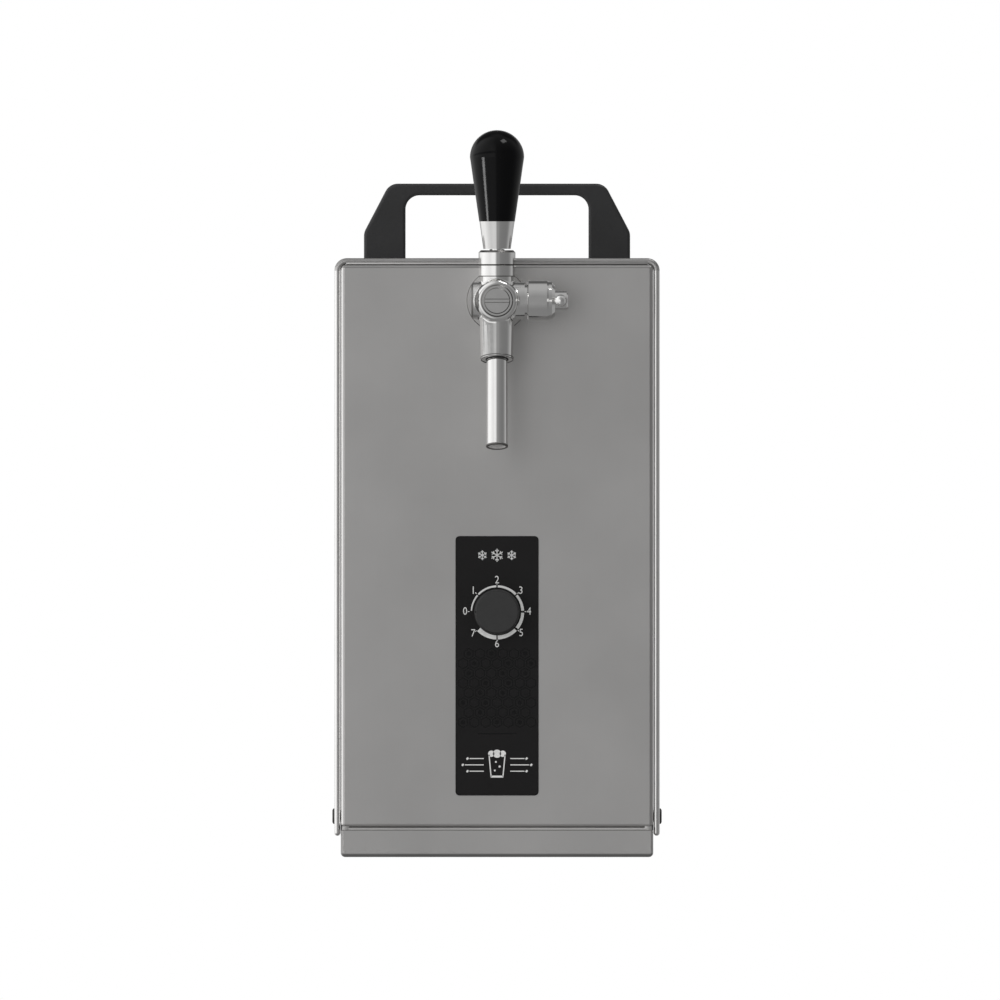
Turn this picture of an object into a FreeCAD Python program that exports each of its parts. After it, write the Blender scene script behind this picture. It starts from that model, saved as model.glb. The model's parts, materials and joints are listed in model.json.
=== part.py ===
import FreeCAD, Part
import math
import os
import re
import Sketcher
from FreeCAD import Placement, Rotation, Vector

# Counter-top dry-contact beer cooler with one compensator tap.
# Millimetres, +Z up, the front faces -Y. The origin is on the table, at the middle of the casing.

os.makedirs("parts", exist_ok=True)
doc = FreeCAD.newDocument("tap_cooler")
sheet = doc.addObject("Spreadsheet::Sheet", "sizes")
sheet.Label = "driving dimensions"

driving = {
    # casing
    "casing_width": 175, "casing_depth": 290, "cover_top": 322.2, "cover_bottom": 11.5,
    "sheet_wall": 1.0, "hem_width": 3.3, "cover_corner": 6.7, "rim_set": 1.2, "shell_gap": 0.15,
    "panel_bottom": 16, "panel_flange": 14, "panel_bend": 2.2, "tray_wall": 1.2, "tray_bend": 2.4,
    "tray_corner": 1.4, "tray_side": 32, "lip_width": 16, "lip_inset": 4,
    "vent_height": 3.5, "vent_pitch": 12, "vent_length": 56, "vent_bottom": 42,
    # casing screws
    "cover_screw_height": 22, "cover_screw_spread": 110, "cover_head_radius": 4.2,
    "cover_head_height": 1.1, "screw_radius": 2, "screw_clearance": 0.15, "panel_screw_spread": 60,
    "panel_screw_inset": 9, "screw_head_radius": 3.6, "screw_head_height": 2.4,
    # carrying handle and the frame that lifts the load
    "handle_width": 143.2, "shoulder_drop": 26.3, "handle_rise": 40.1, "handle_crown": 115.7,
    "grip_opening": 98.4, "grip_bar": 6.3, "handle_plate": 10, "handle_corner": 7.5,
    "grip_edge": 1.6, "handle_slot_gap": 0.5, "crossbar_top": 300, "crossbar_plate": 3,
    "frame_width": 24, "frame_plate": 2, "shelf_height": 168, "shelf_front_gap": 2,
    "handle_bolt_radius": 2.5, "handle_bolt_depth": 14, "bolt_head_radius": 4.5, "bolt_head_height": 3,
    "frame_screw_height": 16, "frame_screw_spread": 7,
    # control label and thermostat
    "label_width": 44.7, "label_bottom": 33.1, "label_top": 172.7, "label_film": 0.5, "label_corner": 2.2,
    "dial_height": 131.8, "dial_radius": 12.25, "dial_length": 15, "dial_gap": 0.4, "dial_edge": 1.4,
    "dial_skirt": 1.6, "spindle_radius": 3, "bush_radius": 5, "running_gap": 0.05,
    "thermostat_width": 34, "thermostat_depth": 30, "thermostat_tall": 36, "dial_nut_radius": 7,
    "dial_nut_height": 2.2, "dial_nut_room": 1, "dial_notch": 1, "sensor_tube_radius": 1,
    "sensor_bulb_radius": 3, "sensor_bulb_length": 40, "sensor_exit": 10, "sensor_bend": 4,
    # tap
    "tap_height": 299.3, "tap_reach": 32, "rosette_radius": 16.4, "rosette_height": 5,
    "rosette_chamfer": 0.25, "shank_radius": 7.5, "shank_length": 26, "shank_bore": 4.2,
    "shank_nut_radius": 12, "shank_nut_height": 6, "boss_radius": 11.1, "boss_front": 14, "boss_round": 2.1,
    "boss_bore": 8, "casting_fillet": 1.6, "arm_radius": 10, "arm_left": 13.8, "arm_right": 14.9,
    "arm_bore": 6.5, "arm_edge": 1,
    "neck_radius": 8.85, "neck_top": 312.3, "neck_thread": 8, "neck_bore": 6.2, "thread_top": 322,
    "collar_radius": 9.9, "collar_height": 6.3, "nut_top": 326.5, "nut_chamfer": 1.2, "thread_gap": 0.05,
    "spout_tilt": 15.5, "outlet_top_radius": 9.6, "outlet_end_radius": 8.7, "outlet_length": 32.8,
    "spout_radius": 5.65, "spout_wall": 1, "spout_start": 13, "spout_end": 81.3,
    "seat_offset": 12, "seat_width": 2, "seat_bore": 5, "plug_radius": 8.75, "plug_height": 2,
    "plug_head_radius": 7.1, "plug_head_height": 1.2, "plug_slot_width": 1.5, "plug_slot_depth": 1,
    "plug_slot_length": 13, "plug_slot_edge": 0.3, "valve_radius": 4, "seal_radius": 6.6, "seal_width": 3.2,
    # tap lever
    "lever_pivot": 323.8, "lever_pin_radius": 1, "lever_hub_radius": 3.2, "lever_hub_length": 8,
    "lever_tail_radius": 1.5, "lever_ball_radius": 2.5, "lever_ball_gap": 0.15, "lever_stem_radius": 3,
    "dish_radius": 8.35, "dish_floor": 325,
    "ferrule_bottom": 327.2, "ferrule_top": 342, "ferrule_low_radius": 7.35,
    "ferrule_high_radius": 9.45, "knob_low_radius": 9.6, "knob_high_radius": 14.6,
    "knob_widest": 376.5, "knob_thread_depth": 18,
    # compensator
    "housing_radius": 10.9, "housing_start": 16.3, "housing_full": 26.9, "housing_chamfer_start": 29.6,
    "housing_end": 31.2, "housing_end_radius": 8.6, "arm_thread_radius": 8.5, "arm_thread_end": 22,
    "stem_radius": 5.2, "stem_end": 38.2, "stem_flange_radius": 6.3, "stem_flange_start": 22.3,
    "stem_flange_width": 3, "flow_cone_tip": 6, "flow_cone_radius": 5.4, "flow_cone_tip_radius": 2.4,
    "flow_cone_base": 14, "flow_rod_radius": 2,
    "side_lever_radius": 3.3, "side_lever_length": 27, "side_lever_place": 34.3,
    # cold block
    "block_place": -78, "block_outer": 40.2, "block_inner": 28, "block_bottom": 184, "block_top": 262,
    "beer_tube_radius": 4, "beer_turns": 8, "beer_pitch": 9.6, "beer_coil_bottom": 185,
    "coil_gap": 0.3,
    "cold_tube_radius": 3, "cold_turns": 9, "cold_coil_bottom": 176.5, "cold_pitch": 10.2,
    "foam_side_gap": 11.5, "foam_depth": 128, "foam_top": 284, "foam_floor": 172,
    "foam_roof": 276, "foam_cavity": 54, "pad_inset": 1, "foam_hole_gap": 0.3, "tube_bend": 9,
    "beer_riser_inset": 22,
    # compressor
    "compressor_place": 28, "compressor_radius": 48, "compressor_bottom": 17, "compressor_top": 142,
    "compressor_dome": 18, "foot_plate_width": 122, "foot_plate_depth": 102, "foot_plate": 3,
    "foot_spread": 52, "foot_run": 42, "grommet_radius": 8.5, "grommet_neck": 5, "grommet_cap": 3,
    "foot_bolt_radius": 3, "foot_bolt_head_radius": 5.5, "foot_bolt_head": 4, "grommet_edge": 1,
    # condenser and fan
    "fan_size": 120, "fan_depth": 25, "fan_height": 92, "fan_bore": 57, "fan_tip": 54.5,
    "fan_hub": 19, "fan_hub_depth": 18, "fan_blades": 7, "blade_plate": 1.6, "blade_width": 22,
    "blade_pitch": 38, "fan_strut": 5, "fan_boss_depth": 3.5, "fan_axle": 2, "fan_hole_spread": 52.5,
    "condenser_gap": 4, "condenser_depth": 30, "condenser_width": 120, "fin_count": 15, "fin_plate": 0.6,
    "condenser_tube": 3, "condenser_pass": 24, "condenser_passes": 5, "condenser_reach": 62,
    "grille_radius": 54, "grille_slot": 4, "grille_pitch": 9,
    # refrigerant pipes
    "suction_bend": 12, "pipe_radius": 3, "capillary_radius": 1.2, "drier_radius": 7.5,
    "drier_length": 60, "drier_bottom": 60, "drier_side_gap": 13.5, "drier_place": 64,
    "pipe_rise": 10, "capillary_low": 278, "capillary_high": 291, "discharge_side_gap": 9.5,
    # air pump
    "pump_width": 60, "pump_depth": 56, "pump_tall": 60, "pump_back_gap": 22, "pump_foot": 4,
    "pump_foot_radius": 5, "hose_rise": 28, "bracket_plate": 2, "bracket_flange": 18,
    "hose_radius": 4, "nozzle_radius": 3, "nozzle_length": 10,
    # rear connections
    "port_side_gap": 43, "port_height": 290, "port_radius": 9, "port_proud": 9, "port_flange_radius": 11,
    "port_flange": 2.5, "port_nut": 6, "port_inner": 26, "port_bore": 4.05, "port_throat": 3,
    "collet_bore": 6.6,
    "collet_radius": 6.5, "collet_head": 7.6, "collet_head_height": 2.4, "collet_proud": 1.9,
    "collet_depth": 12,
    "switch_spread": 12, "switch_height": 288, "switch_width": 15, "switch_tall": 21, "switch_rim": 2,
    "switch_wall": 1.5, "switch_depth": 18, "rocker_radius": 9.4, "rocker_gap": 0.25, "rocker_pin": 1.2,
    "rocker_tilt": 7,
    "inlet_side_gap": 47.5, "inlet_height": 232, "inlet_width": 48, "inlet_tall": 28, "inlet_rim": 3,
    "inlet_mouth_width": 25, "inlet_mouth_tall": 17, "inlet_mouth_depth": 17, "inlet_depth": 24,
    "inlet_wall": 2, "inlet_blade_width": 4, "inlet_blade": 2, "inlet_blade_spread": 7,
    # how far a cut runs past what it cuts
    "overrun": 1,
}
derived = {
    "handle_top": "cover_top + handle_rise",
    "handle_shoulder": "handle_top - shoulder_drop",
    "grip_under": "handle_top - grip_bar",
    "foam_width": "casing_width - 2 * foam_side_gap",
    "drier_side": "casing_width / 2 - drier_side_gap",
    "discharge_side": "casing_width / 2 - discharge_side_gap",
    "pipe_level": "max(compressor_top; fan_height + fan_size / 2) + pipe_rise",
    "bracket_height": "port_height - hose_rise - pump_tall - pump_foot",
    "port_spread": "casing_width / 2 - port_side_gap",
    "inlet_side": "casing_width / 2 - inlet_side_gap",
}
cells = {alias: str(size) for alias, size in driving.items()}
cells.update((alias, f"={text}") for alias, text in derived.items())
for row, (alias, content) in enumerate(cells.items(), 1):
    sheet.set(f"A{row}", alias)
    sheet.setAlias(f"B{row}", alias)
    sheet.set(f"B{row}", content)
doc.recompute()


def formula(text):
    def prefixed(word):
        return "sizes." + word.group() if word.group() in cells else word.group()
    return re.sub(r"[a-z][a-z0-9_]*", prefixed, str(text))


def value(text):
    return float(sheet.evalExpression(formula(text)))


def bind(thing, **targets):
    for target, text in targets.items():
        thing.setExpression(target.replace("_dot_", "."), formula(text))


# Turning local +Z into each axis of the object.
upright = {"x": Rotation(Vector(0, 1, 0), 90), "y": Rotation(Vector(1, 0, 0), -90), "z": Rotation()}
planes = {"x": "YZ_Plane", "y": "XZ_Plane", "z": "XY_Plane"}


def stand(thing, axis, across, along="0"):
    thing.Placement = Placement(Vector(), upright[axis])
    places = list(across)
    places.insert("xyz".index(axis), along)
    for letter, text in zip("xyz", places):
        thing.setExpression(f"Placement.Base.{letter}", formula(text))


def box(name, x, y, z):
    solid = doc.addObject("Part::Box", name)
    for letter, side, (low, high) in zip("xyz", ("Length", "Width", "Height"), (x, y, z)):
        solid.setExpression(f"Placement.Base.{letter}", formula(low))
        solid.setExpression(side, formula(f"({high}) - ({low})"))
    return solid


def cylinder(name, axis, across, radius, span):
    solid = doc.addObject("Part::Cylinder", name)
    stand(solid, axis, across, span[0])
    bind(solid, Radius=radius, Height=f"({span[1]}) - ({span[0]})")
    return solid


def fuse(name, *pieces):
    solid = doc.addObject("Part::MultiFuse", name)
    solid.Shapes = list(pieces)
    solid.Refine = False
    return solid


def group(name, *pieces):
    solids = doc.addObject("Part::Compound", name)
    solids.Links = list(pieces)
    return solids


def cut(name, base, *tools):
    solid = doc.addObject("Part::Cut", name)
    solid.Base = base
    solid.Tool = tools[0] if len(tools) == 1 else group(name + "_tools", *tools)
    solid.Refine = False
    return solid


# A bar along y with its front end rounded.
def round_ended(name, bar, radius):
    doc.recompute()
    rim = min(bar.Shape.Edges, key=lambda edge: edge.BoundBox.YMax)
    solid = doc.addObject("Part::Feature", name)
    solid.Shape = bar.Shape.makeFillet(value(radius), [rim])
    return solid


# Branches that all meet on one point, with a fillet where they cross, then their bores and thread ends.
def casting(name, branches, fillet, ends, bores):
    doc.recompute()
    shape = branches[0].Shape
    for branch in branches[1:]:
        shape = shape.fuse(branch.Shape)
    shape = shape.removeSplitter()
    crossings = [edge for edge in shape.Edges if isinstance(edge.Curve, Part.BSplineCurve)]
    shape = shape.makeFillet(value(fillet), crossings)
    for end in ends:
        shape = shape.fuse(end.Shape)
    for bore in bores:
        shape = shape.cut(bore.Shape)
    solid = doc.addObject("Part::Feature", name)
    solid.Shape = shape
    return solid


def origin_plane(body, role):
    return [plane for plane in body.Origin.OriginFeatures if plane.Role == role][0]


def outline(body, name, role, points):
    sketch = body.newObject("Sketcher::SketchObject", name)
    sketch.AttachmentSupport = [(origin_plane(body, role), "")]
    sketch.MapMode = "FlatFace"
    corners = [Vector(value(across), value(up), 0) for across, up in points]
    count = len(points)
    for index, corner in enumerate(corners):
        sketch.addGeometry(Part.LineSegment(corner, corners[(index + 1) % count]))
    for index in range(count):
        sketch.addConstraint(Sketcher.Constraint("Coincident", index, 2, (index + 1) % count, 1))
    for index, (place, corner) in enumerate(zip(points, corners)):
        for kind, text, size, axis in zip(("DistanceX", "DistanceY"), place, corner, (-2, -1)):
            if text == "0":
                sketch.addConstraint(Sketcher.Constraint("PointOnObject", index, 1, axis))
            else:
                number = sketch.addConstraint(Sketcher.Constraint(kind, -1, 1, index, 1, size))
                sketch.setExpression(f"Constraints[{number}]", formula(text))
    return sketch


# A turned piece: its half outline is (radius, place along the axis).
def turned(name, axis, across, points):
    body = doc.addObject("PartDesign::Body", name)
    sketch = outline(body, name + "_profile", "XZ_Plane", points)
    feature = body.newObject("PartDesign::Revolution", name + "_turn")
    feature.Profile = sketch
    feature.ReferenceAxis = (sketch, ["V_Axis"])
    feature.Angle = 360
    stand(body, axis, across)
    return body


# A plate with a straight-sided outline: its two places are along the other two axes, in x-y-z order.
def plate(name, axis, points, span):
    body = doc.addObject("PartDesign::Body", name)
    sketch = outline(body, name + "_profile", planes[axis], points)
    feature = body.newObject("PartDesign::Pad", name + "_pad")
    feature.Profile = sketch
    feature.Midplane = True
    bind(feature, Length=f"({span[1]}) - ({span[0]})")
    body.setExpression(f"Placement.Base.{axis}", formula(f"(({span[0]}) + ({span[1]})) / 2"))
    return body


near = 0.01
touching = 0.0001


def lies(edge, **places):
    bounds = edge.BoundBox
    for letter, place in places.items():
        low = getattr(bounds, letter.upper() + "Min")
        high = getattr(bounds, letter.upper() + "Max")
        if abs(low - place) > near or abs(high - place) > near:
            return False
    return True


def rounded(body, name, radius, picked):
    doc.recompute()
    base = body.Tip
    feature = body.newObject("PartDesign::Fillet", name)
    feature.Base = (base, [f"Edge{i}" for i, edge in enumerate(base.Shape.Edges, 1) if picked(edge)])
    bind(feature, Radius=radius)
    return feature


# A pressed pan, open to local +Z, with its floor at local z = 0.
def pan(name, half_width, low, high, depth, wall, bend, corner):
    corners = [(f"-{half_width}", low), (half_width, low), (half_width, high), (f"-{half_width}", high)]
    body = doc.addObject("PartDesign::Body", name)
    sketch = outline(body, name + "_profile", "XY_Plane", corners)
    feature = body.newObject("PartDesign::Pad", name + "_block")
    feature.Profile = sketch
    bind(feature, Length=depth)
    rounded(body, name + "_corners", corner,
            lambda edge: edge.BoundBox.ZLength > near and not edge.BoundBox.XLength > near)
    rounded(body, name + "_bends", bend, lambda edge: lies(edge, z=0))
    doc.recompute()
    block = body.Tip
    top = [f"Face{i}" for i, face in enumerate(block.Shape.Faces, 1) if lies(face, z=value(depth))]
    shell = body.newObject("PartDesign::Thickness", name + "_wall")
    shell.Base = (block, top)
    bind(shell, Value=wall)
    shell.Reversed = True
    return body


# A pipe along straight runs with a tangent arc at each corner.
def path(points, bend):
    corners = [Vector(*(value(text) for text in point)) for point in points]
    edges = []
    start = corners[0]
    for before, corner, after in zip(corners, corners[1:], corners[2:]):
        inward = (corner - before).normalize()
        outward = (after - corner).normalize()
        turn = inward.getAngle(outward)
        reach = bend * math.tan(turn / 2)
        leave = corner - inward * reach
        meet = corner + outward * reach
        middle = corner + (outward - inward).normalize() * bend * (1 / math.cos(turn / 2) - 1)
        if (leave - start).Length > touching:
            edges.append(Part.LineSegment(start, leave).toShape())
        edges.append(Part.Arc(leave, middle, meet).toShape())
        start = meet
    edges.append(Part.LineSegment(start, corners[-1]).toShape())
    return Part.Wire(edges)


def pipe(name, points, radius, bend):
    route = path(points, value(bend))
    first = route.Edges[0]
    ring = Part.Circle(first.valueAt(first.FirstParameter), first.tangentAt(first.FirstParameter),
                       value(radius))
    shape = route.makePipeShell([Part.Wire(ring.toShape())], True, True)
    expected = math.pi * value(radius) ** 2 * route.Length
    print(name, "length", round(route.Length, 1), "volume ratio", round(shape.Volume / expected, 4))
    tube = doc.addObject("Part::Feature", name)
    tube.Shape = shape
    return tube


# A tube wound as a left-handed helix about a vertical axis, starting at +X of it.
def coil(name, across, coil_radius, tube_radius, bottom, pitch, turns):
    helix = doc.addObject("Part::Helix", name + "_line")
    helix.LocalCoord = "Left-handed"
    bind(helix, Pitch=pitch, Height=f"({pitch}) * ({turns})", Radius=coil_radius)
    ring = doc.addObject("Part::Circle", name + "_ring")
    bind(ring, Radius=tube_radius)
    ring.Placement = Placement(Vector(), Rotation(Vector(1, 0, 0), 90))
    bind(ring, Placement_dot_Base_dot_x=coil_radius)
    tube = doc.addObject("Part::Sweep", name)
    tube.Sections = [ring]
    tube.Spine = (helix, [])
    tube.Solid = True
    tube.Frenet = True
    stand(tube, "z", across, bottom)
    return tube


nodes = {}


def node(name, piece):
    piece.Label = name
    nodes[name] = piece
    return piece


# Places that several pieces share.
front = "(-casing_depth / 2)"
back = "(casing_depth / 2)"
side = "(casing_width / 2)"
shell_half = "(casing_width / 2 - hem_width - shell_gap)"
panel_top = "(cover_top - hem_width - shell_gap)"
front_inside = f"({front} + sheet_wall)"
back_inside = f"({back} - sheet_wall)"
tray_inside = f"({shell_half} - tray_wall)"
screw_hole = "(screw_radius + screw_clearance)"


def base_tray():
    shell = pan("tray_shell", shell_half, front, back, "tray_side", "tray_wall", "tray_bend",
                "tray_corner")
    low_front = box(
        "tray_low_front", (f"-{shell_half} - overrun", f"{shell_half} + overrun"),
        (f"{front} - overrun", f"{front} + panel_flange + shell_gap"),
        ("panel_bottom - 1.5", "tray_side + overrun"))
    low_back = box(
        "tray_low_back", (f"-{shell_half} - overrun", f"{shell_half} + overrun"),
        (f"{back} - panel_flange - shell_gap", f"{back} + overrun"),
        ("panel_bottom - 1.5", "tray_side + overrun"))
    walls = cut("tray_walls", shell, low_front, low_back)
    lips = []
    for name, low, high, outer in (("front", front, f"{front} + lip_width", front),
                                   ("back", f"{back} - lip_width", back, back)):
        lip = plate(
            f"tray_{name}_lip", "z",
            [
                (f"-{shell_half} + lip_inset", low), (f"{shell_half} - lip_inset", low),
                (f"{shell_half} - lip_inset", high), (f"-{shell_half} + lip_inset", high)],
            ("panel_bottom - tray_wall - 0.3", "panel_bottom"))
        edge_place = value(outer)
        half = value("(tray_wall + 0.3) / 2")
        rounded(lip, f"tray_{name}_lip_bend", "tray_wall",
                lambda edge: lies(edge, y=edge_place, z=half))
        lips.append(lip)
    whole = fuse("tray_whole", walls, *lips)
    holes = []
    for across in (-1, 1):
        for run in (-1, 1):
            place = (f"{run} * cover_screw_spread", "cover_screw_height")
            span = (f"{across} * {shell_half} - 5", f"{across} * {shell_half} + 5")
            holes.append(cylinder("tray_cover_hole", "x", place, screw_hole, span))
            place = (f"{run} * frame_screw_spread", "frame_screw_height")
            holes.append(cylinder("tray_frame_hole", "x", place, screw_hole, span))
            lip_place = (f"{across} * panel_screw_spread",
                         f"{run} * (casing_depth / 2 - panel_screw_inset)")
            holes.append(cylinder(
                "tray_lip_hole", "z", lip_place, screw_hole,
                ("panel_bottom - 4", "panel_bottom + overrun")))
            foot = (f"{across} * foot_spread", f"compressor_place + {run} * foot_run")
            holes.append(cylinder(
                "tray_foot_hole", "z", foot, "foot_bolt_radius + running_gap",
                ("-1", "tray_wall + overrun")))
    return cut("base_tray", whole, *holes)


def front_panel():
    shell = pan("front_shell", shell_half, f"-{panel_top}", "-panel_bottom", "panel_flange", "sheet_wall",
                "panel_bend", "panel_bend")
    shell.Placement = Placement(Vector(), Rotation(Vector(1, 0, 0), -90))
    shell.setExpression("Placement.Base.y", formula(front))
    through = (f"{front} - overrun", f"{front} + 3")
    holes = [cylinder("front_shank_hole", "y", ("0", "tap_height"), "shank_radius + 0.2", through),
             cylinder("front_dial_hole", "y", ("0", "dial_height"), "bush_radius + 0.1", through)]
    for across in (-1, 1):
        place = (f"{across} * panel_screw_spread", f"{front} + panel_screw_inset")
        holes.append(cylinder(
            "front_screw_hole", "z", place, screw_hole, ("panel_bottom - overrun", "panel_bottom + 3")))
    return cut("front_panel", shell, *holes)


def rear_panel():
    shell = pan("rear_shell", shell_half, "panel_bottom", panel_top, "panel_flange", "sheet_wall",
                "panel_bend", "panel_bend")
    shell.Placement = Placement(Vector(), Rotation(Vector(1, 0, 0), 90))
    shell.setExpression("Placement.Base.y", formula(back))
    through = (f"{back} - 3", f"{back} + overrun")
    holes = []
    for across in (-1, 1):
        place = (f"{across} * panel_screw_spread", f"{back} - panel_screw_inset")
        holes.append(cylinder(
            "rear_screw_hole", "z", place, screw_hole, ("panel_bottom - overrun", "panel_bottom + 3")))
        holes.append(cylinder("rear_port_hole", "y", (f"{across} * port_spread", "port_height"),
                              "port_radius + 0.1", through))
        holes.append(box("rear_switch_hole",
                         (f"{across} * switch_spread - switch_width / 2",
                          f"{across} * switch_spread + switch_width / 2"),
                         through, ("switch_height - switch_tall / 2", "switch_height + switch_tall / 2")))
        for up in (-1, 1):
            place = (f"{across} * fan_hole_spread", f"fan_height + {up} * fan_hole_spread")
            holes.append(cylinder("rear_fan_hole", "y", place, screw_hole, through))
        holes.append(cylinder("rear_inlet_screw_hole", "y",
                              (f"inlet_side + {across} * (inlet_width / 2 - 4)",
                               "inlet_height"), screw_hole, through))
    mouth = "(inlet_mouth_width / 2 + inlet_wall)"
    mouth_up = "(inlet_mouth_tall / 2 + inlet_wall)"
    holes.append(box("rear_inlet_hole", (f"inlet_side - {mouth}", f"inlet_side + {mouth}"), through,
                     (f"inlet_height - {mouth_up}", f"inlet_height + {mouth_up}")))
    rows = int(value("grille_radius") / value("grille_pitch"))
    for row in range(-rows, rows + 1):
        level = f"{row} * grille_pitch"
        half = f"(sqrt(grille_radius ^ 2 - ({level}) ^ 2) * 0.96 - grille_slot)"
        if value(half) > value("grille_slot"):
            height = f"fan_height + {level}"
            holes.append(box("grille_slot", (f"-{half}", half), through,
                             (f"{height} - grille_slot / 2", f"{height} + grille_slot / 2")))
            for across in (-1, 1):
                holes.append(cylinder("grille_end", "y", (f"{across} * {half}", height),
                                      "grille_slot / 2", through))
    return cut("rear_panel", shell, group("rear_holes", *holes))


def cover():
    low = "cover_bottom + hem_width / 2"
    inner = f"({side} - sheet_wall)"
    under = "cover_top - sheet_wall"
    wrap = plate(
        "cover_wrap", "y",
        [
            (f"-{side}", low), (f"-{side}", "cover_top"), (side, "cover_top"), (side, low),
            (inner, low), (inner, under), (f"-{inner}", under), (f"-{inner}", low)],
        (f"{front} + rim_set + hem_width / 2", f"{back} - rim_set - hem_width / 2"))
    top = value("cover_top")
    rounded(wrap, "cover_outer_bend", "cover_corner",
            lambda edge: lies(edge, x=value(side), z=top) or lies(edge, x=-value(side), z=top))
    level = value(under)
    rounded(wrap, "cover_inner_bend", "cover_corner - sheet_wall",
            lambda edge: lies(edge, x=value(inner), z=level) or lies(edge, x=-value(inner), z=level))
    bead = "(hem_width / 2)"
    reach = f"({side} - {bead})"
    beads = []
    for name, place in (("front", f"{front} + rim_set + {bead}"), ("back", f"{back} - rim_set - {bead}")):
        corners = [
            (f"-{reach}", place, f"cover_bottom + {bead}"), (f"-{reach}", place, f"cover_top - {bead}"),
            (reach, place, f"cover_top - {bead}"), (reach, place, f"cover_bottom + {bead}")]
        beads.append(pipe(f"cover_{name}_bead", corners, bead, f"cover_corner - {bead}"))
        for across in (-1, 1):
            ball = doc.addObject("Part::Sphere", "cover_bead_end")
            bind(ball, Radius=bead)
            stand(ball, "z", (f"{across} * {reach}", place), f"cover_bottom + {bead}")
            beads.append(ball)
    for across in (-1, 1):
        beads.append(cylinder("cover_low_bead", "y", (f"{across} * {reach}", f"cover_bottom + {bead}"),
                              bead,
                              (f"{front} + rim_set + {bead}", f"{back} - rim_set - {bead}")))
    whole = fuse("cover_whole", wrap, *beads)
    holes = []
    leg_in = "(grip_opening / 2 - handle_slot_gap)"
    leg_out = "(handle_width / 2 + handle_slot_gap)"
    slot_half = "(handle_plate / 2 + handle_slot_gap)"
    for across, (low_x, high_x) in zip((-1, 1), ((f"-{leg_out}", f"-{leg_in}"), (leg_in, leg_out))):
        holes.append(box("cover_leg_slot", (low_x, high_x), (f"-{slot_half}", slot_half),
                         ("cover_top - 3", "cover_top + overrun")))
        span = (f"{across} * {side} - 2", f"{across} * {side} + 2")
        for run in (-1, 1):
            holes.append(cylinder(
                "cover_screw_hole", "x", (f"{run} * cover_screw_spread", "cover_screw_height"),
                screw_hole, span))
        for row in range(8):
            height = f"vent_bottom + {row} * vent_pitch"
            middle = f"({back} - condenser_gap - fan_depth - condenser_depth / 2 - 6)"
            run_low = f"{middle} - vent_length / 2"
            run_high = f"{middle} + vent_length / 2"
            holes.append(box(
                "cover_vent", span, (run_low, run_high), (height, f"{height} + vent_height")))
            for end in (run_low, run_high):
                holes.append(cylinder("cover_vent_end", "x", (end, f"{height} + vent_height / 2"),
                                      "vent_height / 2", span))
    return cut("cover", whole, group("cover_holes", *holes))


def casing_screws():
    screws = []
    for across in (-1, 1):
        for run in (-1, 1):
            place = (f"{run} * cover_screw_spread", "cover_screw_height")
            out = f"({side} + cover_head_height)"
            inside = f"({shell_half} - tray_wall - 4)"
            screw = turned(
                "cover_screw", "x", place,
                [
                    ("0", inside), ("screw_radius", inside), ("screw_radius", f"{shell_half} + 0.05"),
                    ("cover_head_radius - 0.9", f"{shell_half} + 0.05"),
                    ("cover_head_radius - 0.9", side + " - sheet_wall - 0.05"),
                    ("screw_radius", side + " - sheet_wall - 0.05"), ("screw_radius", side),
                    ("cover_head_radius", side),
                    ("cover_head_radius", f"{side} + cover_head_height * 0.45"),
                    ("cover_head_radius - 0.9", out), ("0", out)])
            if across < 0:
                screw.Placement.Rotation = Rotation(Vector(0, 1, 0), -90)
            screws.append(screw)
    node("cover_screws", group("cover_screws", *screws))
    screws = []
    for run in (-1, 1):
        for across in (-1, 1):
            place = (f"{across} * panel_screw_spread", f"{run} * (casing_depth / 2 - panel_screw_inset)")
            seat = "panel_bottom + sheet_wall"
            screws.append(turned(
                "panel_screw", "z", place,
                [
                    ("0", "panel_bottom - tray_wall - 4"),
                    ("screw_radius", "panel_bottom - tray_wall - 4"), ("screw_radius", seat),
                    ("screw_head_radius", seat),
                    ("screw_head_radius", f"{seat} + screw_head_height * 0.6"),
                    ("screw_head_radius * 0.6", f"{seat} + screw_head_height"),
                    ("0", f"{seat} + screw_head_height")]))
    node("panel_screws", group("panel_screws", *screws))


def carry_handle():
    half = "handle_width / 2"
    grip = "grip_opening / 2"
    handle = plate(
        "handle_blank", "y",
        [
            (f"-{half}", "crossbar_top"), (f"-{half}", "handle_shoulder"),
            ("-handle_crown / 2", "handle_top"), ("handle_crown / 2", "handle_top"),
            (half, "handle_shoulder"), (half, "crossbar_top"), (grip, "crossbar_top"),
            (grip, "grip_under"), (f"-{grip}", "grip_under"), (f"-{grip}", "crossbar_top")],
        ("-handle_plate / 2", "handle_plate / 2"))
    corners = [(value(half), value("handle_shoulder")), (value("handle_crown / 2"), value("handle_top")),
               (value(grip), value("grip_under"))]
    rounded(handle, "handle_corners", "handle_corner",
            lambda edge: any(lies(edge, x=turn * x, z=z) for x, z in corners for turn in (-1, 1)))
    legs = value("crossbar_top")
    rounded(handle, "handle_edges", "grip_edge",
            lambda edge: edge.BoundBox.YLength < near and not lies(edge, z=legs))
    holes = [
        cylinder(
            "handle_bolt_hole", "z", (f"{across} * (handle_width + grip_opening) / 4", "0"),
            "handle_bolt_radius + running_gap",
            ("crossbar_top - overrun", "crossbar_top + handle_bolt_depth + overrun"))
        for across in (-1, 1)]
    return cut("carry_handle", handle, *holes)


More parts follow.
